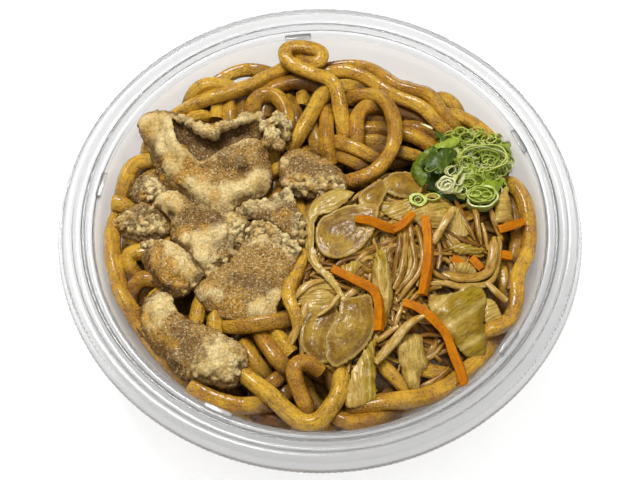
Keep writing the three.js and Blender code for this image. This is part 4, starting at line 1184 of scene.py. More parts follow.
# Sprouts and strips, as width, flatness, paleness and route: first those on top of everything.
top_strip_routes = [
    (3.9, 0.6, 0.95, [(19.5, -58, 2), (25.5, -51.5, 3.5), (34.5, -42.5, 5), (37, -41.5, 5)]),
    (2.6, 0.6, 0.95, [(61, -26, 2), (64, -29.5, 2.5), (68, -32.5, 2)]),
    (2.2, 0.6, 0.95, [(7, -33.5, 4.5), (3, -39, 4.5), (-1, -41.5, 3.5)]),
    (3, 0.4, 0.95, [(41.5, -11.5, 2.5), (48, 0, 4), (49.5, 3.5, 3.5)]),
]
strip_routes = [
    (2.4, 0.8, 0.75, [(20, -50, 1.5), (24, -47, 2), (28, -44.5, 2.5)]),
    (2.9, 0.4, 0.75, [(-11.5, -52, 0.5), (-7, -42.5, 1.5), (-4.5, -35, 1.5)]),
    (2.2, 0.8, 0.8, [(-13, -31.5, 1), (-12, -35.5, 1.5), (-9.5, -38, 1.5), (-7, -36, 2)]),
    (2.6, 0.45, 0.8, [(-13, -35.5, 0.5), (-10.5, -34, 1.5), (-2.5, -27.5, 2), (1.5, -27, 2)]),
    (2.2, 0.8, 0.45, [(31, 0.5, 1), (33, -4, 1.5), (33.5, -10, 2), (34.5, -22, 2), (27.5, -31.5, 0.5)]),
    (2.4, 0.8, 0.35, [(27, -3.5, 1), (29.5, -8, 2), (29, -14, 2), (27.5, -20, 1.5), (26, -28.5, 1)]),
    (2.1, 0.8, 0.55, [(36, -4.5, 1), (37, -10, 2), (38, -16, 1.5), (36.5, -22.5, 1), (32, -28.5, 1),
        (28, -34.5, 0.5)]),
    (2.2, 0.6, 0.6, [(24, -2, 1), (27, -7.5, 1), (25.5, -13.5, 1.5), (23.5, -18.5, 1)]),
    (2.2, 0.9, 0.6, [(64, 5, 2), (65.5, 0, 2), (67.5, -8, 2)]),
    (4.1, 0.25, 0.62, [(65, -7, 2), (63.5, -17.5, 2), (61.5, -22, 2), (52, -25, 1.5), (47.5, -24.5, 1.5),
        (45, -23, 1)]),
    (2.2, 0.3, 0.8, [(67, -7, 2), (65.5, -18.5, 2), (64, -23.5, 1.5), (61, -26.5, 1.5), (56, -27.5, 1.5),
        (50.5, -28, 1.5), (45.5, -27, 2), (40, -27.5, 2)]),
    (2.1, 0.9, 0.5, [(44, -28, 1), (38, -29.5, 1.5), (33, -33.5, 1), (30, -38.5, 0.5)]),
    (2.6, 0.4, 0.55, [(-3, -32.5, 1), (0, -33.5, 1.5), (2.5, -33, 1.5), (5, -33.5, 1.5)]),
    (2.9, 0.4, 0.4, [(-5, -33.5, 1), (0, -31.5, 1.5), (6, -32.5, 1.5)]),
    (2.6, 0.4, 0.5, [(30.5, -2.5, 1), (31.5, -10, 2), (31, -17.5, 2.5), (30, -24, 2), (27, -30.5, 1)]),
    (2.6, 0.5, 0.35, [(13, -19.5, 0.5), (17, -15.5, 1), (33, -6.5, 1)]),
    (2.2, 0.6, 0.45, [(12, -22, 0), (18, -18, 0.5), (24, -15.5, 1)]),
    (1.9, 0.8, 0.6, [(15.5, -19, 1), (17, -17, 1.5), (19.5, -16.5, 1.5), (20, -22.5, 1), (17.5, -23, 1),
        (16, -21, 1)]),
    (2.1, 0.7, 0.3, [(-3, -24, 0), (4, -27.5, 0.5), (10, -29.5, 0.5), (15, -32.5, 0.5)]),
    (2.2, 0.6, 0.5, [(-4, -35, 0.5), (-2, -31.5, 1), (2, -29.5, 1), (6, -26.5, 0.5)]),
    (2.1, 0.7, 0.45, [(57, 9.5, 0.5), (58.5, 2.5, 1.5), (59, -5, 1.5), (60, -10.5, 1)]),
    (2.2, 0.6, 0.35, [(51, 8.5, 0.5), (55, -3.5, 1.5), (57.5, -8.5, 1)]),
    (1.7, 0.8, 0.7, [(60.5, -1.5, 1.5), (61.5, -6.5, 1.5), (62, -12.5, 1)]),
    (2.1, 0.7, 0.4, [(48, -16, 0.5), (50, -20.5, 1), (47, -24.5, 1), (41, -22.5, 1), (38, -18.5, 0.5)]),
    (2.2, 0.6, 0.3, [(40, -3.5, 0.5), (43, -9.5, 1), (44, -15.5, 0.5), (43, -21, 0.5)]),
    (1.9, 0.8, 0.55, [(21, -30, 0.5), (22, -37.5, 0.5), (21, -45.5, 0.5), (17, -52, 0.5)]),
    (2.2, 0.7, 0.35, [(24, -53, 0), (37, -46.5, 1), (44, -46.5, 0.5)]),
    (1.9, 0.8, 0.5, [(44, -49.5, 0.5), (40, -54.5, 0.5), (33, -56, 0)]),
    (2.2, 0.5, 0.4, [(46, -58, 0), (42, -62, 0), (35, -65.5, -0.5)]),
    (2.6, 0.6, 0.35, [(-9, -43, 0), (-6, -50, 0), (-7, -57.5, -0.5)]),
    (2.2, 0.7, 0.3, [(2, -58, 0), (8, -60, 0), (14, -57.5, 0.5)]),
    (2.2, 0.6, 0.25, [(68, -12, 0), (71, -20, 0), (69, -27, 0)]),
    (2.2, 0.6, 0.7, [(-45, -31.5, -3), (-42.5, -35.5, -3), (-40, -40, -3.5)]),
]


def place_inside(outline, low, high):
    """A random place inside an outline, drawn between two corners."""
    while True:
        x, y = luck.uniform(low[0], high[0]), luck.uniform(low[1], high[1])
        if is_inside(x, y, outline):
            return x, y


def random_strips(count):
    """Short strips scattered inside the vegetables' outline, a little below those that show."""
    outline = np.array(heap_outline)
    strips = []
    while len(strips) < count:
        x, y = place_inside(outline, outline.min(axis=0), outline.max(axis=0))
        usual_heading = 1.8 if x < 40 else 2.7
        heading, turn = luck.normal(usual_heading, 0.6), luck.normal(0, 0.08)
        depth = luck.uniform(-1.0, 3.5)
        path = []
        for _ in range(luck.integers(8, 24)):
            turn = 0.85 * turn + luck.normal(0, 0.08)
            heading += turn
            x, y = x + link * math.cos(heading), y + link * math.sin(heading)
            path.append((x, y, heap_surface(x, y) - depth))
        if is_inside(x, y, outline):
            strips.append(np.array(path))
    return strips


def add_strip(bm, section, width, tone, path, cover):
    steps = np.linspace(0, 1, len(path))
    radii = width * (1 + 0.14 * np.sin(steps * luck.uniform(4, 12) + luck.uniform(0, 6)))
    to_end = np.minimum(steps, 1 - steps) * len(path)
    radii *= np.clip(to_end * 0.5 + luck.uniform(0.3, 0.8), 0, 1)
    tilts = luck.uniform(-0.35, 0.35) + luck.uniform(-0.8, 0.8) * steps
    mesh, rings = swept(path, section, 2, radii, tilts, "Z_UP")
    # Painted shade, with sauce: darker on the underside and under other strips.
    below, along = sauce_and_shade_on(rings, cover, width, steepness=2)
    soak = np.maximum(along, below * 0.7)
    add_mesh(bm, mesh, tone=tone, soak=soak, grain=grain_along(rings))


def make_strips():
    shown = [laid_out(route) for *_, route in strip_routes]
    below = random_strips(count=240)
    shapes = [row[:3] for row in strip_routes]
    for _ in below:
        shapes.append((luck.uniform(1.2, 2.6), luck.choice([0.3, 0.4, 0.6]), luck.uniform(0, 0.8)))
    weights = [1.0] * len(shown) + [0.3] * len(below)
    widths = [width * (0.5 + flatness / 2) for width, flatness, _ in shapes]
    ceiling = ceiling_under("carrot", "onion", "cabbage")
    strands = rest_on_each_other(shown + below, weights, widths, ceiling, margin=1.0, rounds=60)
    covers = under_others(strands)
    shapes += [row[:3] for row in top_strip_routes]
    strands += [laid_out(route) for *_, route in top_strip_routes]
    covers += [np.zeros(2) for _ in top_strip_routes]
    bm = bmesh_with("tone", "soak", "grain")
    sections = {}
    for (width, flatness, tone), path, cover in zip(shapes, strands, covers):
        key = round(flatness, 1)
        if key not in sections:
            sections[key] = cross_section(8, 1.0, flatness=key, squareness=3.0)
        add_strip(bm, sections[key], width, tone, path, cover)
    for section in sections.values():
        bpy.data.objects.remove(section)
    return finish_food("vegetable_strips", bm)


def make_vegetable_core():
    bm = bmesh.new()
    edge = [(x, y, -8) for x, y in heap_outline]
    peaks = [(x, y, -4.2) for x in range(6, 62, 9) for y in range(-52, 8, 9)]
    add_sheet(bm, edge, peaks, thickness=6, cell=1.4)
    for v in bm.verts:
        v.co.z += 0.9 * noise.noise(v.co / 3.5)
    bm.normal_update()
    return finish_food("vegetable_core", bm)


def wilted_strip(core):
    """Wilted sprout or cabbage strip: see-through pale flesh stained by sauce, lined lengthwise, with
    painted shade.
    """
    n = Nodes("painted_shade_core" if core else "wilted_strip")
    patch = n.noise(160, 3, 0.6)
    fine = n.noise(900, 3, 0.65)
    if core:
        relief = fine
        # Painted shade: the hidden core is nearly black.
        colour = n.mix(n.step(fine, 0.35, 0.65), (0.05, 0.021, 0.004), (0.15, 0.07, 0.01))
    else:
        relief = n.lines(2.3, 2, 0.6)
        pale = n.attribute("tone") - 0.1 + (patch - 0.5) * 1.0 + (relief - 0.5) * 1.9
        colour = n.mix(n.step(pale, 0.0, 0.6), (0.20, 0.078, 0.005), (0.50, 0.28, 0.038))
        colour = n.mix(n.step(pale, 0.6, 1.3), colour, (0.88, 0.66, 0.26))
        colour = n.stain(colour, (0.18, 0.075, 0.007), 0.4, fine, 0.54, 0.66)
        # Painted shade, with sauce: darker where soaked.
        colour = n.mix(n.attribute("soak") * 0.8, colour, (0.075, 0.03, 0.004))
    return n.flesh(
        0.12, (1.0, 0.6, 0.2), 0.0012,
        Base_Color=colour,
        Roughness=n.step(patch, 0.3, 0.7, 0.22, 0.5),
        Specular_IOR_Level=0.18,
        Coat_Weight=n.step(patch, 0.42, 0.58, 0.1, 0.7),
        Coat_Roughness=0.12,
        Normal=n.bump(relief, 0.0005, 0.5),
    )


for make, core in ((make_strips, False), (make_vegetable_core, True)):
    piece = make()
    piece.data.materials.append(wilted_strip(core))
    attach(piece, "root")
    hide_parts("vegetables")

# ------------------------------------------------------------------ cabbage
# Pieces of cabbage leaf, wilted soft: thin, veined, yellow-green or nearly white, lying on the strips.

# Cabbage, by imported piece: thickness, greenness, vein direction (None: along the edge) and spacing,
# outline, points inside, and tints as (x, y, radius, greenness). The scraps are the same, in one piece.
cabbage_leaves = {
    "cabbage_5": (0.8, 0.12, None, 1.5,
        [(13, 8.5, 4), (7, 10.5, 3.5), (-2, 6.5, 2.5), (-5.5, -10, 2), (-4.5, -18, 2), (5, -31, 3),
            (7, -35, 3.5), (9, -37.5, 3), (10, -37, 3), (9, -34, 3.5), (5.5, -27, 3.5), (0.5, -21, 3),
            (-1.5, -15.5, 3), (-2, -5, 3), (-1.5, -2, 3), (0, -0.5, 3.5), (3, 0, 3.5), (10.5, 5, 4)],
        [(6.5, 6, 4.5), (1.5, 4.5, 4), (-3, 0, 3), (-4, -6, 3), (-3.5, -12, 3), (10.5, 7.5, 4.5),
            (2.5, -25.5, 3)],
        [(8, 9.5, 4, 0.35)]),
    "cabbage_4": (1.1, 0.45, 95, 2.4,
        [(22.5, -13.5, 1.5), (20.5, -15.5, 1.5), (19.5, -19.5, 2), (19, -30, 2), (20.5, -36, 1.5),
            (22.5, -46.5, 0.5), (24, -42, 1), (25.5, -37.5, 1), (24.5, -18, 2), (23.5, -14.5, 1.5)],
        [(22, -20, 3), (22.5, -25.5, 3.5), (23.5, -33, 3), (23, -38.5, 3), (21.5, -29.5, 3)],
        [(24.5, -25, 5, 0), (24, -30, 5, 0.03), (22.5, -17, 4, 0.7), (24.5, -44, 5, 0.8)]),
    "cabbage_2": (1.2, 0.25, 98, 2.6,
        [(20, -47.5, 1.5), (14, -56.5, 2), (11.5, -60.5, 2), (9.5, -69.5, 2.5), (9, -74, 3), (13, -74, 3),
            (16.5, -72.5, 3), (19.5, -71, 3), (19.5, -66, 2.5), (20, -51, 1.5), (21, -48.5, 1.5)],
        [(17.5, -57.5, 3), (17.5, -64, 3), (12, -67.5, 2.5), (18, -68, 3)],
        [(19, -52, 4, 0.95), (18, -59, 3.2, 1), (18, -66, 3.2, 1), (18, -71, 3, 0.85), (11, -67, 5, 0)]),
    "cabbage_1": (1.1, 0.75, 38, 9,
        [(38.5, -31.5, 0.5), (43, -31.5, 1), (49, -30.5, 1.5), (55, -27.5, 2), (59.5, -28.5, 1.5),
            (60.5, -33.5, 1), (59, -40.5, 1), (60, -46.5, 0.5), (59.5, -51.5, 0.5), (56, -54.5, 0),
            (51.5, -53, 0.5), (48, -49, 1), (44, -45, 1.5), (40.5, -38.5, 1)],
        [(47.5, -37.5, 3), (52.5, -35, 3.5), (55, -42.5, 3), (49, -44.5, 2.5), (55, -49, 2),
            (43.5, -36.5, 2)],
        [(53, -34, 7, 1), (49, -39, 5, 0.9), (42, -34.5, 5, 0.1), (46, -44, 4, 0.15), (56, -50, 6, 0.85)]),
    "cabbage_3": (1.3, 0.05, 96, 2.2,
        [(26.5, -51, 1), (28, -49, 1.5), (31, -47.5, 1.5), (35, -47, 1.5), (36.5, -49, 1.5), (37, -52, 1),
            (38, -58, 1), (36, -60.5, 0.5), (34.5, -67.5, 0.5), (32, -66.5, 0.5), (29, -59.5, 1)],
        [(30, -52, 3), (32.5, -57, 2.5), (34.5, -52.5, 2.5), (33, -64, 2), (31, -58, 2)],
        [(38, -53, 3, 0.4), (33, -69, 3, 0.3)]),
}
cabbage_scraps = [
    (1, 0.2, 10, 1.5, [(30.5, 6.5, 1), (42, 8, 1.5), (47.5, 7, 1), (50, 2.5, 1), (46, -4, 1), (41, -4.5, 1),
        (37, -3.5, 1), (34, 0.5, 1)], [(40, 1.5, 3), (45, 1.5, 2.5)], [(46, 4, 4, 0.6), (33, 5, 3, 0.5)]),
    (1, 0.75, 15, 1.6, [(47.5, -12.5, 1), (50, -11, 1.5), (57, -11.5, 1.5), (61, -12, 1), (58, -14.5, 1),
        (50.5, -14.5, 1)], [(54, -13.5, 2.5)], []),
    (1, 0.1, 60, 1.4, [(47.5, -19, 0.5), (50.5, -17, 1), (57, -20.5, 1), (58, -22.5, 0.5), (52, -23, 0.5),
        (48, -22, 0)], [(52.5, -21, 2.5)], []),
    (1.4, 0, 185, 1.15, [(71, 15.5, 2), (69, 13, 1.5), (66, 5, 1), (66, -0.5, 1), (69, -0.5, 1),
        (72.5, 0.5, 1), (72.5, 4, 1)], [(69, 7, 2.5), (69.5, 3, 2.5)], []),
    (1, 0.5, 75, 1.5, [(6, -20.5, 0), (11, -19, 0.5), (15, -17, 0.5), (14, -22.5, 0.5), (10, -25.5, 0.5),
        (5.5, -24, 0)], [(11, -22, 1.5)], []),
    (1, 0.2, 30, 1.5, [(58, -30, 0), (64, -33, 0.5), (66, -38, 0.5), (64, -43, 0), (60, -40, 0)],
        [(62.5, -36.5, 1)], []),
    (1, 0.3, 20, 1.5, [(20, 9, 0.5), (26, 6.5, 0.5), (33, 7.5, 1), (35, 2.5, 1), (30, -1.5, 1),
        (24, 1.5, 0.5)], [(28, 3, 1.5)], [(24, 5, 4, 0.8)]),
    (1, 0, 8, 1.2, [(-8, -34, 0.5), (-6, -29, 1), (0, -27, 1), (6, -29, 1.5), (8, -33.5, 1), (-1, -41, 0.5),
        (-6, -39, 0)], [(0, -33.5, 2.5), (-3, -37, 2)], []),
    (1, 0, 85, 1.3, [(29, -6.5, 0.5), (33, -4.5, 1), (35, -10.5, 1), (35, -18.5, 1), (33, -25.5, 1),
        (29, -26.5, 0.5), (28, -16.5, 0.5)], [(32, -15, 2)], []),
    (1, 0.1, 80, 1.3, [(47, 6, 0.5), (52, 4.5, 1), (54, -7.5, 1), (49, -6.5, 0.5), (46, -0.5, 0.5)],
        [(50.5, -1, 2)], []),
]


def sheet_grain(places, across, direction):
    """Coordinates that run with a leaf's fibres, in mm, shortened along them."""
    along = places[:, 0] * math.cos(direction) + places[:, 1] * math.sin(direction)
    return np.stack([across, fibre * along, 0.3 * places[:, 2]], axis=1) + luck.uniform(0, 400, 3)


def thin_part(name, outline, peaks, thickness, cell, voxel, rounds):
    """A fused thin sheet on its own, and where its points are."""
    part = bmesh.new()
    add_sheet(part, outline, peaks, thickness, cell, cell / 2)
    part = fused(name, part, voxel, rounds)
    return part, places_of(part)


def add_leaf(bm, name, thickness, green, direction, spacing, outline, peaks, tints):
    """A thin veined sheet, with how green and how hollow each point is and where the veins are."""
    part, places = thin_part(name, outline, peaks, thickness, cell=0.6, voxel=0.36, rounds=2)
    if direction is None:
        across = edge_distance(places[:, 0], places[:, 1], closed_line(outline, 1.0))
    else:
        direction = math.radians(direction)
        across = places[:, 1] * math.cos(direction) - places[:, 0] * math.sin(direction)
    shade = np.clip(0.5 + 0.6 * hollowness(places, reach=2.0), 0, 1)
    bend = np.array([noise.noise(v.co / 7) for v in part.verts])
    veins = np.maximum(0, np.cos(math.tau * (across + 1.6 * bend) / spacing)) ** 3
    for v, vein in zip(part.verts, veins):
        v.co += v.normal * (0.16 * vein + 0.35 * noise.noise(v.co / 4) + 0.08 * noise.noise(v.co / 1.2))
    greens = np.full(len(places), green)
    for *spot, value in tints:
        greens += (value - greens) * spotted(places, [spot])
    grain = sheet_grain(places, across + 0.8 * bend, direction or 0)
    add_mesh(bm, to_mesh(name, part), green=greens, vein=veins, shade=shade, grain=grain)


def make_leaves(name, rows):
    bm = bmesh_with("green", "vein", "shade", "grain")
    for row in rows:
        add_leaf(bm, name, *row)
    return finish_food(name, bm)


def wilted_cabbage():
    """Wilted cabbage leaf: cream to yellow-green, lined along its fibres, with painted shade in hollows."""
    n = Nodes("wilted_cabbage")
    patch = n.noise(130, 3, 0.6)
    fine = n.noise(1100, 3, 0.65)
    lines = n.lines(1.8, 3, 0.65)
    lined = n.step(lines, 0.4, 0.65)
    green = n.step(n.attribute("green") + (patch - 0.5) * 0.5, 0.05, 0.95)
    pale = n.mix(lined, (0.64, 0.435, 0.10), (0.37, 0.22, 0.024))
    colour = n.mix(green, pale, n.mix(lined, (0.42, 0.28, 0.009), (0.22, 0.125, 0.002)))
    colour = n.mix(n.attribute("vein") * 0.45, colour, (0.86, 0.66, 0.22))
    colour = n.stain(colour, (0.36, 0.18, 0.01), 0.5, patch, 0.5, 0.68)
    # Painted shade in the hollows.
    colour = n.stain(colour, (0.12, 0.06, 0.008), 0.6, n.attribute("shade"), 0.5, 1.0)
    colour = n.stain(colour, (0.19, 0.09, 0.007), 0.4, fine, 0.53, 0.65)
    return n.flesh(
        0.1, (0.9, 0.8, 0.3), 0.001,
        Base_Color=colour,
        Roughness=n.step(patch, 0.3, 0.7, 0.25, 0.5),
        Specular_IOR_Level=0.2,
        Coat_Weight=n.step(patch, 0.45, 0.6, 0.4, 0.05),
        Coat_Roughness=0.1,
        Normal=n.bump(lines, 0.0005, 0.4, n.bump(fine, 0.0003, 0.4)),
    )


cabbage_material = wilted_cabbage()
leaves = [(name.replace("_", "_leaf_"), [row], name) for name, row in cabbage_leaves.items()]
for name, rows, node in [*leaves, ("cabbage_scraps", cabbage_scraps, "vegetables")]:
    piece = make_leaves(name, rows)
    piece.data.materials.append(cabbage_material)
    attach(piece, "root")
    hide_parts(node)

# ------------------------------------------------------------------ onion
# Layers of onion fried until see-through and brown, curved like shallow dishes with a paler rim.

# Onion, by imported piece: layers as thickness, outline, points inside.
onion_layers = {
    "onion_1": [
        (1.3, [(-1.5, -10, 2), (-1, -5, 2.5), (1, -1.5, 2.5), (5, 1, 3), (16, 4, 3), (21.5, 3.5, 3),
            (21.5, 0, 3), (11, -16.5, 2), (6.5, -18, 2), (0, -15, 2)], [(4.5, -7, 1.5), (8.5, -5.5, 1.5),
            (11.5, -9, 1.5), (5, -13, 2), (13.5, -3.5, 2), (9.5, -0.5, 2)]),
    ],
    "onion_2": [
        (1.3, [(-7, -51, 1), (-6.5, -44.5, 1), (-4, -39, 1), (0.5, -37, 1.5), (5, -36.5, 2),
            (6.5, -39.5, 2), (4.5, -45, 2), (2, -51, 1.5), (3, -57, 1), (0, -58, 1), (-4.5, -54.5, 1)],
            [(-1, -45.5, 2.5), (-1.5, -52, 2.5), (2.5, -41.5, 2.5)]),
        (1.3, [(2.5, -53, 2), (2, -49.5, 2.5), (4.5, -45, 3), (7, -40.5, 3.5), (7.5, -36, 3.5),
            (12.5, -34, 3), (18, -33.5, 3), (19, -37.5, 3), (18.5, -48, 2.5), (11, -56.5, 2),
            (4.5, -59, 1.5), (2.5, -56.5, 2)], [(12, -39, 4.5), (11.5, -46, 4.5), (8, -52, 3.5),
            (15.5, -43.5, 4)]),
    ],
    "onion_3": [
        (1.3, [(24, 15.5, 1.5), (27.5, 18.5, 1.5), (37.5, 17.5, 1), (38.5, 13, 1), (36.5, 9, 1),
            (26, 10, 1.5), (24, 11.5, 1.5)], [(30.5, 12.5, 3)]),
        (1.3, [(15, 4.5, 2), (14.5, 7.5, 2), (19.5, 13, 2), (23.5, 15.5, 2), (25.5, 12, 2), (24, 7.5, 2),
            (21.5, 3, 2), (18, 2.5, 2)], [(19.5, 7.5, 3)]),
    ],
}


def make_onion(name, layers):
    bm = bmesh_with("edge", "shade", "grain")
    for thickness, outline, peaks in layers:
        part, places = thin_part(name, outline, peaks, thickness, cell=0.6, voxel=0.34, rounds=3)
        inwards = edge_distance(places[:, 0], places[:, 1], closed_line(outline, 0.6))
        edge = np.clip(1.2 - inwards / 0.8, 0, 1)
        shade = np.clip(0.5 + 0.5 * hollowness(places, reach=3.0), 0, 1)
        for v, ridge, depth in zip(part.verts, edge, inwards):
            contour = 0.04 * math.sin(depth * 3.2 + 2 * noise.noise(v.co / 6)) * min(1, depth / 2)
            v.co += v.normal * (0.2 * ridge + contour + 0.3 * noise.noise(v.co / 7))
        grain = sheet_grain(places, inwards, 0.8)
        add_mesh(bm, to_mesh(name, part), edge=edge, shade=shade, grain=grain)
    return finish_food(name, bm)


def fried_onion():
    """Onion fried until see-through: brown-gold flesh, lined, grained with sauce, a thin pale rim, painted
    shade and glints.
    """
    n = Nodes("fried_onion")
    patch = n.noise(120, 3, 0.6)
    fine = n.noise(1150, 3, 0.7)
    colour = n.mix(n.step(patch, 0.38, 0.62), (0.45, 0.265, 0.017), (0.27, 0.13, 0.004))
    colour = n.stain(colour, (0.24, 0.12, 0.012), 0.25, n.lines(1.4, 3, 0.6), 0.48, 0.62)
    # Painted shade in the hollows.
    colour = n.stain(colour, (0.13, 0.062, 0.007), 0.7, n.attribute("shade"), 0.45, 0.9)
    colour = n.stain(colour, (0.15, 0.068, 0.006), 0.5, fine + (patch - 0.5) * 0.5, 0.5, 0.6)
    # Painted highlights: pale flecks standing in for glints.
    colour = n.stain(colour, (0.86, 0.64, 0.24), 0.35, n.noise(1200, 2, 0.7), 0.58, 0.68)
    colour = n.mix(n.attribute("edge") * 0.7, colour, (0.66, 0.45, 0.11))
    return n.flesh(
        0.12, (1.0, 0.6, 0.2), 0.0015,
        Base_Color=colour,
        Roughness=n.step(fine, 0.4, 0.6, 0.2, 0.45),
        Specular_IOR_Level=0.25,
        Coat_Weight=n.step(fine, 0.48, 0.55, 0.45, 0.0),
        Coat_Roughness=0.12,
        Normal=n.bump(fine, 0.0005, 0.5),
    )


onion_material = fried_onion()
for node, layers in onion_layers.items():
    piece = make_onion(node.replace("_", "_slice_"), layers)
    piece.data.materials.append(onion_material)
    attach(piece, "root")
    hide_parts(node)

# ------------------------------------------------------------------ carrot
# Carrot cut into long square sticks, fried soft enough to bend, bright orange with browned edges.

# Carrot sticks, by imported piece: route.
carrot_routes = {
    "carrot_4": [(4.5, -22.5, 2.5), (14.5, -28.5, 4), (18, -30.5, 4.5), (20, -32.5, 4.5), (21, -36, 4.5),
        (21, -46.5, 3)],
    "carrot_3": [(39, -1.5, 4), (39.5, -6.5, 4.5), (39, -23, 4), (37, -32.5, 3)],
    "carrot_5": [(30, -36, 3), (33, -37, 4), (40.5, -42.5, 4.5), (44, -46, 4), (48, -55.5, 3),
        (50, -60.5, 3.5), (51, -65.5, 4)],
    "carrot_1": [(13, -2.5, 4), (19.5, -3.5, 4), (25, -6, 3.5), (28, -6.5, 3)],
    "carrot_2": [(27, -6.5, 3), (29.5, -5.5, 3.5), (32, -3, 4), (34.5, 0, 3.5)],
    "carrot_6": [(66.5, -4, 2), (69.5, -3, 2.5), (76.5, 0.5, 2.5)],
}
carrot_bits = [
    [(56, -16, 1), (59.5, -20.5, 1.5)],
    [(67, -14, 1.5), (71, -14.5, 1.5)],
    [(48.5, -16.5, 1), (52.5, -18.5, 1)],
]


def make_carrot(name, routes):
    bm = bmesh_with("grain")
    section = cross_section(12, width=3.2, flatness=0.85, squareness=12)
    for route in routes:
        path = laid_out(route)
        steps = np.arange(len(path))
        radii = 1 + 0.06 * np.sin(steps * 0.9 + luck.uniform(0, 6))
        radii[[0, -1]] *= 0.9  # worn ends
        mesh, rings = swept(path, section, 4, radii, luck.uniform(0.1, 0.5) + 0.03 * steps)
        add_mesh(bm, mesh, grain=grain_along(rings))
    bpy.data.objects.remove(section)
    return finish_food(name, bm, sharp=50)


def fried_carrot():
    """Fried carrot: glossy orange, a little browned in patches."""
    n = Nodes("fried_carrot")
    fine = n.noise(1100, 3, 0.6)
    lines = n.lines(1.8, 3, 0.6)
    colour = n.mix(n.step(n.noise(220, 3, 0.6), 0.3, 0.7), (0.72, 0.25, 0.001), (0.56, 0.165, 0.001))
    colour = n.stain(colour, (0.44, 0.11, 0.001), 0.5, lines, 0.46, 0.62)
    colour = n.stain(colour, (0.28, 0.07, 0.002), 0.45, fine, 0.55, 0.66)
    return n.flesh(
        0.1, (1.0, 0.35, 0.05), 0.0012,
        Base_Color=colour,
        Roughness=n.step(fine, 0.3, 0.7, 0.42, 0.62),
        Specular_IOR_Level=0.12,
        Normal=n.bump(lines, 0.0006, 0.4, n.bump(fine, 0.0004, 0.4)),
    )


carrot_material = fried_carrot()
sticks = [(name.replace("_", "_stick_"), [route], name) for name, route in carrot_routes.items()]
for name, routes, node in [*sticks, ("carrot_scraps", carrot_bits, "vegetables")]:
    piece = make_carrot(name, routes)
    piece.data.materials.append(carrot_material)
    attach(piece, "root")
    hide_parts(node)

# ------------------------------------------------------------------ spring onion
# Spring onion cut across into thin rings and shreds, raw: white or pale inside, green outside.
# They lie in a loose little heap on the right, with some leaf pieces at its left.

spring_onion_outline = [(36, 20.5), (38.5, 26), (43, 30.5), (47.5, 34), (52, 39.5), (55, 42), (59.5, 41.5),
    (65, 40.5), (69.5, 38), (73, 33.5), (73.5, 28), (72, 22.5), (70, 17), (67.5, 11.5), (65, 8.5),
    (61, 7.5), (57, 8), (54, 10.5), (50.5, 10.5), (46.5, 10), (44.5, 14), (41, 14.5), (38, 15.5)]
ring_outline = [(46.5, 34), (52, 39.5), (55, 42), (59.5, 41.5), (65, 40.5), (69.5, 38), (73, 33.5),
    (73.5, 28), (72, 22.5), (70, 17), (67.5, 11.5), (65, 8.5), (61, 7.5), (57, 8), (54, 10.5), (52, 13.5),
    (53, 18), (51, 24), (48.5, 30)]
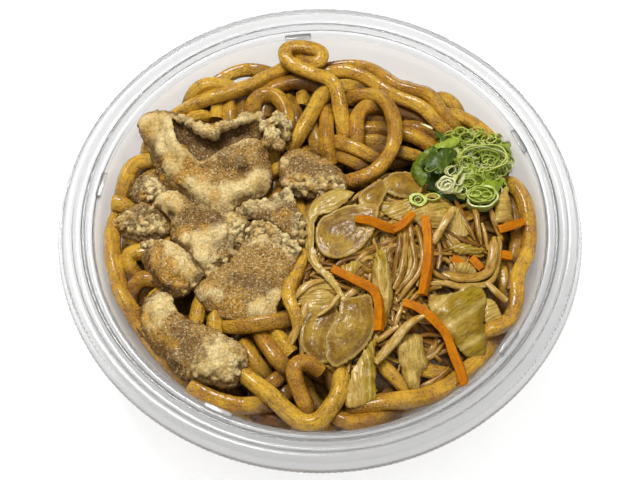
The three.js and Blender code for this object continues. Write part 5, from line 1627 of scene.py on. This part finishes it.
# Rings and arcs that show: x, y, height, radius, squash, length, wall, azimuth, elevation, start, sweep
# and greenness.
spring_onion_rings = [
    (62, 25, 5.5, 9.6, 0.6, 2, 0.6, -90, 82, 0, 360, 0.42),
    (62, 25, 6, 8.3, 0.56, 1.2, 0.35, -90, 80, 0, 360, 0.2),
    (62, 24.5, 5.5, 6.8, 0.5, 1.2, 0.4, -75, 78, 20, 320, 0.55),
    (60, 22, 5.5, 4.2, 0.6, 1.2, 0.4, -60, 72, 0, 300, 0.5),
    (65.5, 24, 5.5, 4, 0.6, 1.2, 0.4, -110, 74, 40, 300, 0.6),
    (58, 26, 5.5, 3.6, 0.6, 1.2, 0.4, -90, 70, 0, 330, 0.65),
    (55.5, 21.5, 6, 3.2, 0.8, 1.6, 0.5, -80, 65, 0, 360, 0.6),
    (64.5, 28.5, 5.5, 3.4, 0.6, 1.2, 0.35, -100, 76, 90, 300, 0.7),
    (61, 8.5, 2.5, 6.2, 0.7, 4.6, 0.7, -90, 84, 0, 360, 0.2),
    (60.5, 9, 5, 5.3, 0.68, 1.2, 0.5, -90, 84, 0, 360, 0.48),
    (60.5, 9, 5, 4, 0.66, 1.2, 0.45, -90, 82, 0, 360, 0.55),
    (58, 9, 5, 2.3, 0.7, 1.2, 0.45, -90, 82, 0, 360, 0.5),
    (62.5, 9, 5, 2, 0.7, 1.2, 0.4, -90, 82, 0, 360, 0.5),
    (50.5, 18, 6, 3, 0.7, 2.4, 0.35, -60, 60, 0, 300, 0.14),
    (52, 15, 5.5, 3.2, 0.6, 3, 0.35, -30, 50, 20, 260, 0.12),
    (49, 18.5, 5.5, 2.2, 0.8, 2, 0.35, -70, 60, 0, 360, 0.16),
    (52, 12, 4.5, 2.8, 0.5, 2.5, 0.35, -20, 55, 0, 250, 0.14),
    (47, 12, 6, 3.4, 0.8, 2.2, 0.6, -70, 62, 0, 360, 0.02),
    (47, 11.5, 6, 2.5, 0.8, 2.4, 0.6, -70, 62, 0, 360, 0),
    (47.5, 11, 6, 1.5, 0.8, 2.4, 0.7, -70, 62, 0, 360, 0),
    (53, 37, 4.5, 3, 0.6, 2.2, 0.45, -60, 60, 0, 360, 0.5),
    (55, 38, 4.5, 2.6, 0.7, 2, 0.45, -110, 55, 0, 360, 0.42),
    (56.5, 34.5, 5.5, 3.2, 0.55, 2, 0.45, -90, 62, 0, 360, 0.46),
    (59.5, 37.5, 5, 3.4, 0.55, 2.4, 0.5, -80, 60, 0, 360, 0.5),
    (60, 37, 5, 2.2, 0.55, 2, 0.4, -80, 60, 0, 360, 0.36),
    (62.5, 36, 5, 3, 0.6, 2.2, 0.45, -100, 60, 0, 360, 0.44),
    (65, 35.5, 4.5, 3.4, 0.55, 2.4, 0.5, -70, 60, 0, 360, 0.48),
    (66, 34.5, 5, 2.1, 0.6, 2, 0.4, -70, 60, 0, 360, 0.34),
    (68, 33.5, 4, 2.8, 0.6, 1.8, 0.45, -50, 60, 0, 360, 0.5),
    (36.5, 6, 3.5, 3.2, 0.85, 1.4, 1.1, -90, 84, 0, 360, 0.36),
    (36.5, 6, 3.5, 1.6, 0.8, 1, 0.5, -90, 84, 0, 360, 0.6),
    (42, 7.5, 3.5, 2.9, 0.5, 1.4, 0.8, -80, 74, 0, 360, 0.4),
    (72.5, 34.5, 3, 1.6, 0.8, 1, 0.4, -60, 60, 30, 280, 0.85),
    (69.5, 21, 3.5, 2.6, 0.6, 1.4, 0.35, -70, 65, 0, 300, 0.45),
    (65, 17.5, 4.5, 3, 0.6, 1.4, 0.4, -90, 70, 0, 300, 0.55),
    (59, 15.5, 5, 3.2, 0.6, 1.4, 0.4, -100, 70, 60, 300, 0.6),
    (56, 14, 4.5, 2.6, 0.7, 1.4, 0.4, -80, 70, 0, 330, 0.45),
    (53.5, 10.5, 4, 2, 0.8, 1.4, 0.4, -60, 70, 0, 360, 0.3),
    (47, 27, 6, 2.8, 0.6, 1.6, 0.4, -90, 60, 0, 250, 0.6),
    (42, 19.5, 5.5, 2.6, 0.6, 1.6, 0.4, -60, 60, 0, 240, 0.7),
]
# Leaf pieces and a chunk of the white: greenness, thickness, outline, points inside.
spring_onion_leaves = [
    (0.88, 0.9, [(34.5, 19.5, 1.5), (36, 23, 2.5), (41, 29, 4), (43.5, 30.5, 4), (43, 27.5, 4),
        (40.5, 25, 4), (38.5, 21.5, 4.5), (38, 20, 4.5), (39.5, 17.5, 4.5), (41, 16, 5), (40, 14, 4),
        (38.5, 12, 3), (36, 15.5, 2)], [(37, 20, 4.5), (37.5, 15.5, 4)]),
    (0.97, 0.9, [(43, 29.5, 4), (46, 30.5, 4.5), (49.5, 29.5, 5), (52, 27.5, 5), (51, 23.5, 5),
        (47.5, 20, 5.5), (45.5, 16.5, 5), (43, 17.5, 4.5), (40.5, 20, 4.5), (39.5, 21.5, 4.5),
        (41.5, 25.5, 4.5)], [(45, 23.5, 6), (48, 26, 6)]),
    (0.6, 0.8, [(43.5, 30, 4.5), (50.5, 34, 4.5), (54.5, 34, 5), (52.5, 31, 5), (49, 28.5, 5.5),
        (45, 28, 5.5)], [(48, 30, 6)]),
    (0.95, 0.8, [(43.5, 38, 3.5), (45, 37.5, 4), (47.5, 34.5, 4.5), (49.5, 32, 4.5), (49, 30, 4.5),
        (46.5, 32.5, 4)], [(46.5, 33.5, 5)]),
    (0.1, 0.8, [(39, 42, 2.5), (42, 41, 3), (44, 39, 3.5), (43.5, 38.5, 3.5), (41.5, 40, 3),
        (39, 41.5, 2.5)], []),
    (0.85, 0.8, [(68, 36.5, 3), (71.5, 36, 3), (74, 30.5, 2), (72.5, 26, 2.5), (72, 29, 3), (70, 32, 3.5)],
        []),
    (0.66, 0.8, [(59.5, 12.5, 4.5), (63, 15.5, 5), (66.5, 16, 4), (70, 17.5, 3), (68.5, 13.5, 3),
        (65, 10, 4), (61.5, 10, 4)], [(64.5, 12.5, 5)]),
    (0.5, 0.8, [(55, 9, 3.5), (57.5, 12, 4), (65, 12.5, 4), (66.5, 10, 3.5), (64, 7.5, 3.5),
        (56.5, 6.5, 3.5)], []),
    (0, 1.2, [(44.5, 13.5, 4), (45.5, 15.5, 5), (47.5, 16, 5.5), (50.5, 12, 5), (50, 9.5, 4.5), (48, 9, 4),
        (46, 9, 3.5), (44.5, 11, 4)], [(47.5, 12.5, 5), (46, 10.5, 5)]),
]


def add_ring(bm, x, y, height, radius, squash, length, wall, azimuth, elevation, start, sweep, green):
    """A slice of a hollow stem or an arc of one; at elevation 90 it lies flat like a ring."""
    layer = bm.verts.layers.float["green"]
    turned, raised = math.radians(azimuth), math.radians(elevation)
    across = Vector((-math.sin(turned), math.cos(turned), 0))
    flat = math.cos(raised)
    axis = Vector((math.cos(turned) * flat, math.sin(turned) * flat, math.sin(raised)))
    up = axis.cross(across) * -1
    centre = Vector((x, y, heap_surface(x, y) + height))
    steps = max(8, round(sweep * radius / 45))
    closed = sweep >= 360
    phase = luck.uniform(0, 6)
    loops = []
    for k in range(steps + (0 if closed else 1)):
        a = math.radians(start + sweep * k / steps)
        wobble = 1 + 0.07 * math.sin(2 * a + phase) + 0.04 * math.sin(5 * a + phase * 2)
        lean = 0.12 * length * math.sin(3 * a + phase)
        loop = []
        for inside, end in ((1, -1), (1, 1), (0, 1), (0, -1)):
            r = (radius - wall * inside) * wobble
            round_it = across * (r * math.cos(a)) + up * (r * squash * math.sin(a))
            v = bm.verts.new(centre + (round_it + axis * (end * length / 2 + lean)))
            v[layer] = green + (-0.15 if inside else 0.12)
            loop.append(v)
        loops.append(loop)
    for first, second in zip(loops, loops[1:] + loops[:1] if closed else loops[1:]):
        for k in range(4):
            bm.faces.new((first[k], first[(k + 1) % 4], second[(k + 1) % 4], second[k]))
    if not closed:
        bm.faces.new(loops[0])
        bm.faces.new(list(reversed(loops[-1])))


def add_random_rings(bm, count):
    """Small rings and arcs heaped at random inside the rings' outline, highest in its middle."""
    outline = np.array(ring_outline, float)
    centre, reach = outline.mean(axis=0), 19
    for number in range(1, count + 1):
        x, y = place_inside(outline, (44, 6), (72, 40))
        outwards = min(1, math.hypot(x - centre[0], y - centre[1]) / reach)
        height = 4.8 * (1 - outwards**2) - luck.uniform(-0.4, 2.6)
        radius = luck.uniform(1.2, 2.4) if number % 3 else luck.uniform(2.4, 4.2)
        shape = (radius, luck.uniform(0.55, 0.95), luck.uniform(0.6, 2.0), luck.uniform(0.15, 0.3))
        facing = (luck.uniform(0, 360), luck.uniform(30, 88))
        arc = (luck.uniform(0, 360), luck.choice([150, 240, 320, 360]))
        green = np.clip(luck.normal(0.37, 0.22), 0, 1)
        add_ring(bm, x, y, height, *shape, *facing, *arc, green)


def make_spring_onion():
    bm = bmesh_with("green")
    for row in spring_onion_rings:
        add_ring(bm, *row)
    for green, thickness, outline, peaks in spring_onion_leaves:
        part, _ = thin_part("leaf", outline, peaks, thickness, cell=0.4, voxel=0.3, rounds=3)
        for v in part.verts:
            v.co += v.normal * (0.5 * noise.noise(v.co / 3) + 0.2 * noise.noise(v.co / 1.1))
        add_mesh(bm, to_mesh("leaf", part), green=green)
    add_random_rings(bm, count=330)
    bmesh.ops.recalc_face_normals(bm, faces=bm.faces)
    return finish_food("spring_onion_rings", bm, sharp=40)


def make_spring_onion_core():
    bm = bmesh_with("green")
    edge = [(x, y, -3) for x, y in spring_onion_outline]
    peaks = [(57, 26, 1.4), (50, 26, 0.6), (64, 27, 1.2), (60, 18, 0.6), (57, 33, 0.6)]
    add_sheet(bm, edge, peaks, thickness=3)
    for v in bm.verts:
        v.co.z += 0.7 * noise.noise(v.co / 1.8)
        v[bm.verts.layers.float["green"]] = 1.0
    bm.normal_update()
    return finish_food("spring_onion_core", bm)


def raw_spring_onion():
    """Raw spring onion: from watery white through light green to dark green leaf, moist."""
    n = Nodes("raw_spring_onion")
    patch = n.noise(350, 2, 0.6)
    fine = n.noise(1600, 3, 0.6)
    green = n.attribute("green") + (patch - 0.5) * 0.35
    colour = n.mix(n.step(green, 0.05, 0.4), (0.90, 0.88, 0.50), (0.58, 0.66, 0.11))
    colour = n.mix(n.step(green, 0.4, 0.7), colour, (0.26, 0.35, 0.016))
    colour = n.mix(n.step(green, 0.7, 1.0), colour, (0.045, 0.085, 0.001))
    colour = n.stain(colour, (0.11, 0.15, 0.008), 0.3, fine, 0.5, 0.7)
    return n.flesh(
        0.15, (0.5, 1.0, 0.3), 0.001,
        Base_Color=colour,
        Roughness=n.step(patch, 0.3, 0.7, 0.25, 0.45),
        Specular_IOR_Level=0.3,
        Coat_Weight=0.08,
        Coat_Roughness=0.08,
        Normal=n.bump(fine, 0.0003, 0.4),
    )


spring_onion_material = raw_spring_onion()
for make in (make_spring_onion, make_spring_onion_core):
    piece = make()
    piece.data.materials.append(spring_onion_material)
    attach(piece, "root")
    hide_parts("spring_onion")

# ------------------------------------------------------------------ stage
# A pale floor, soft studio light from above and a camera above the near side.


def make_floor():
    bm = bmesh.new()
    bmesh.ops.create_grid(bm, x_segments=1, y_segments=1, size=3000)
    floor = finish_piece("floor", bm)
    white = (0.9, 0.9, 0.9)
    lit = {"Emission_Color": white, "Emission_Strength": 0.65}
    floor.data.materials.append(Nodes("pale_floor").surface(Base_Color=white, Roughness=0.9, **lit))


def aimed(name, data, place, aim):
    """A lamp or camera at a place, turned towards another."""
    made = linked(name, data)
    made.location = place
    made.rotation_euler = (aim - made.location).to_track_quat("-Z", "Y").to_euler()
    return made


def make_light(name, size, power, place):
    light = bpy.data.lights.new(name, "AREA")
    light.shape = "DISK"
    light.size = size
    light.energy = power
    aimed(name, light, place, Vector((0, 0, 0.04)))


make_floor()
make_light("key_light", 0.5, 11, (-0.25, 0.45, 1.15))
make_light("fill_light", 1.2, 2, (0.6, -0.5, 1.3))


def make_world():
    """A room that is bright overhead and darker towards the horizon."""
    world = bpy.data.worlds.new("studio")
    world.use_nodes = True
    nodes, links = world.node_tree.nodes, world.node_tree.links
    direction = nodes.new("ShaderNodeTexCoord")
    split = nodes.new("ShaderNodeSeparateXYZ")
    rise = nodes.new("ShaderNodeMapRange")
    links.new(direction.outputs["Generated"], split.inputs[0])
    links.new(split.outputs[2], rise.inputs[0])
    for socket, value in ((1, 0.0), (2, 0.9), (3, 0.08), (4, 0.5)):
        rise.inputs[socket].default_value = value
    links.new(rise.outputs[0], nodes["Background"].inputs["Strength"])
    nodes["Background"].inputs["Color"].default_value = (1, 1, 1, 1)
    bpy.context.scene.world = world


make_world()
bpy.context.scene.view_settings.view_transform = "Standard"

camera_distance = 0.48
camera_elevation = math.radians(62.08)
aim = Vector((0, -0.011, rim_top * mm))
towards = Vector((0, -math.cos(camera_elevation), math.sin(camera_elevation)))
camera = aimed("camera", bpy.data.cameras.new("camera"), aim + camera_distance * towards, aim)
camera.data.lens = 73.5
bpy.context.scene.camera = camera
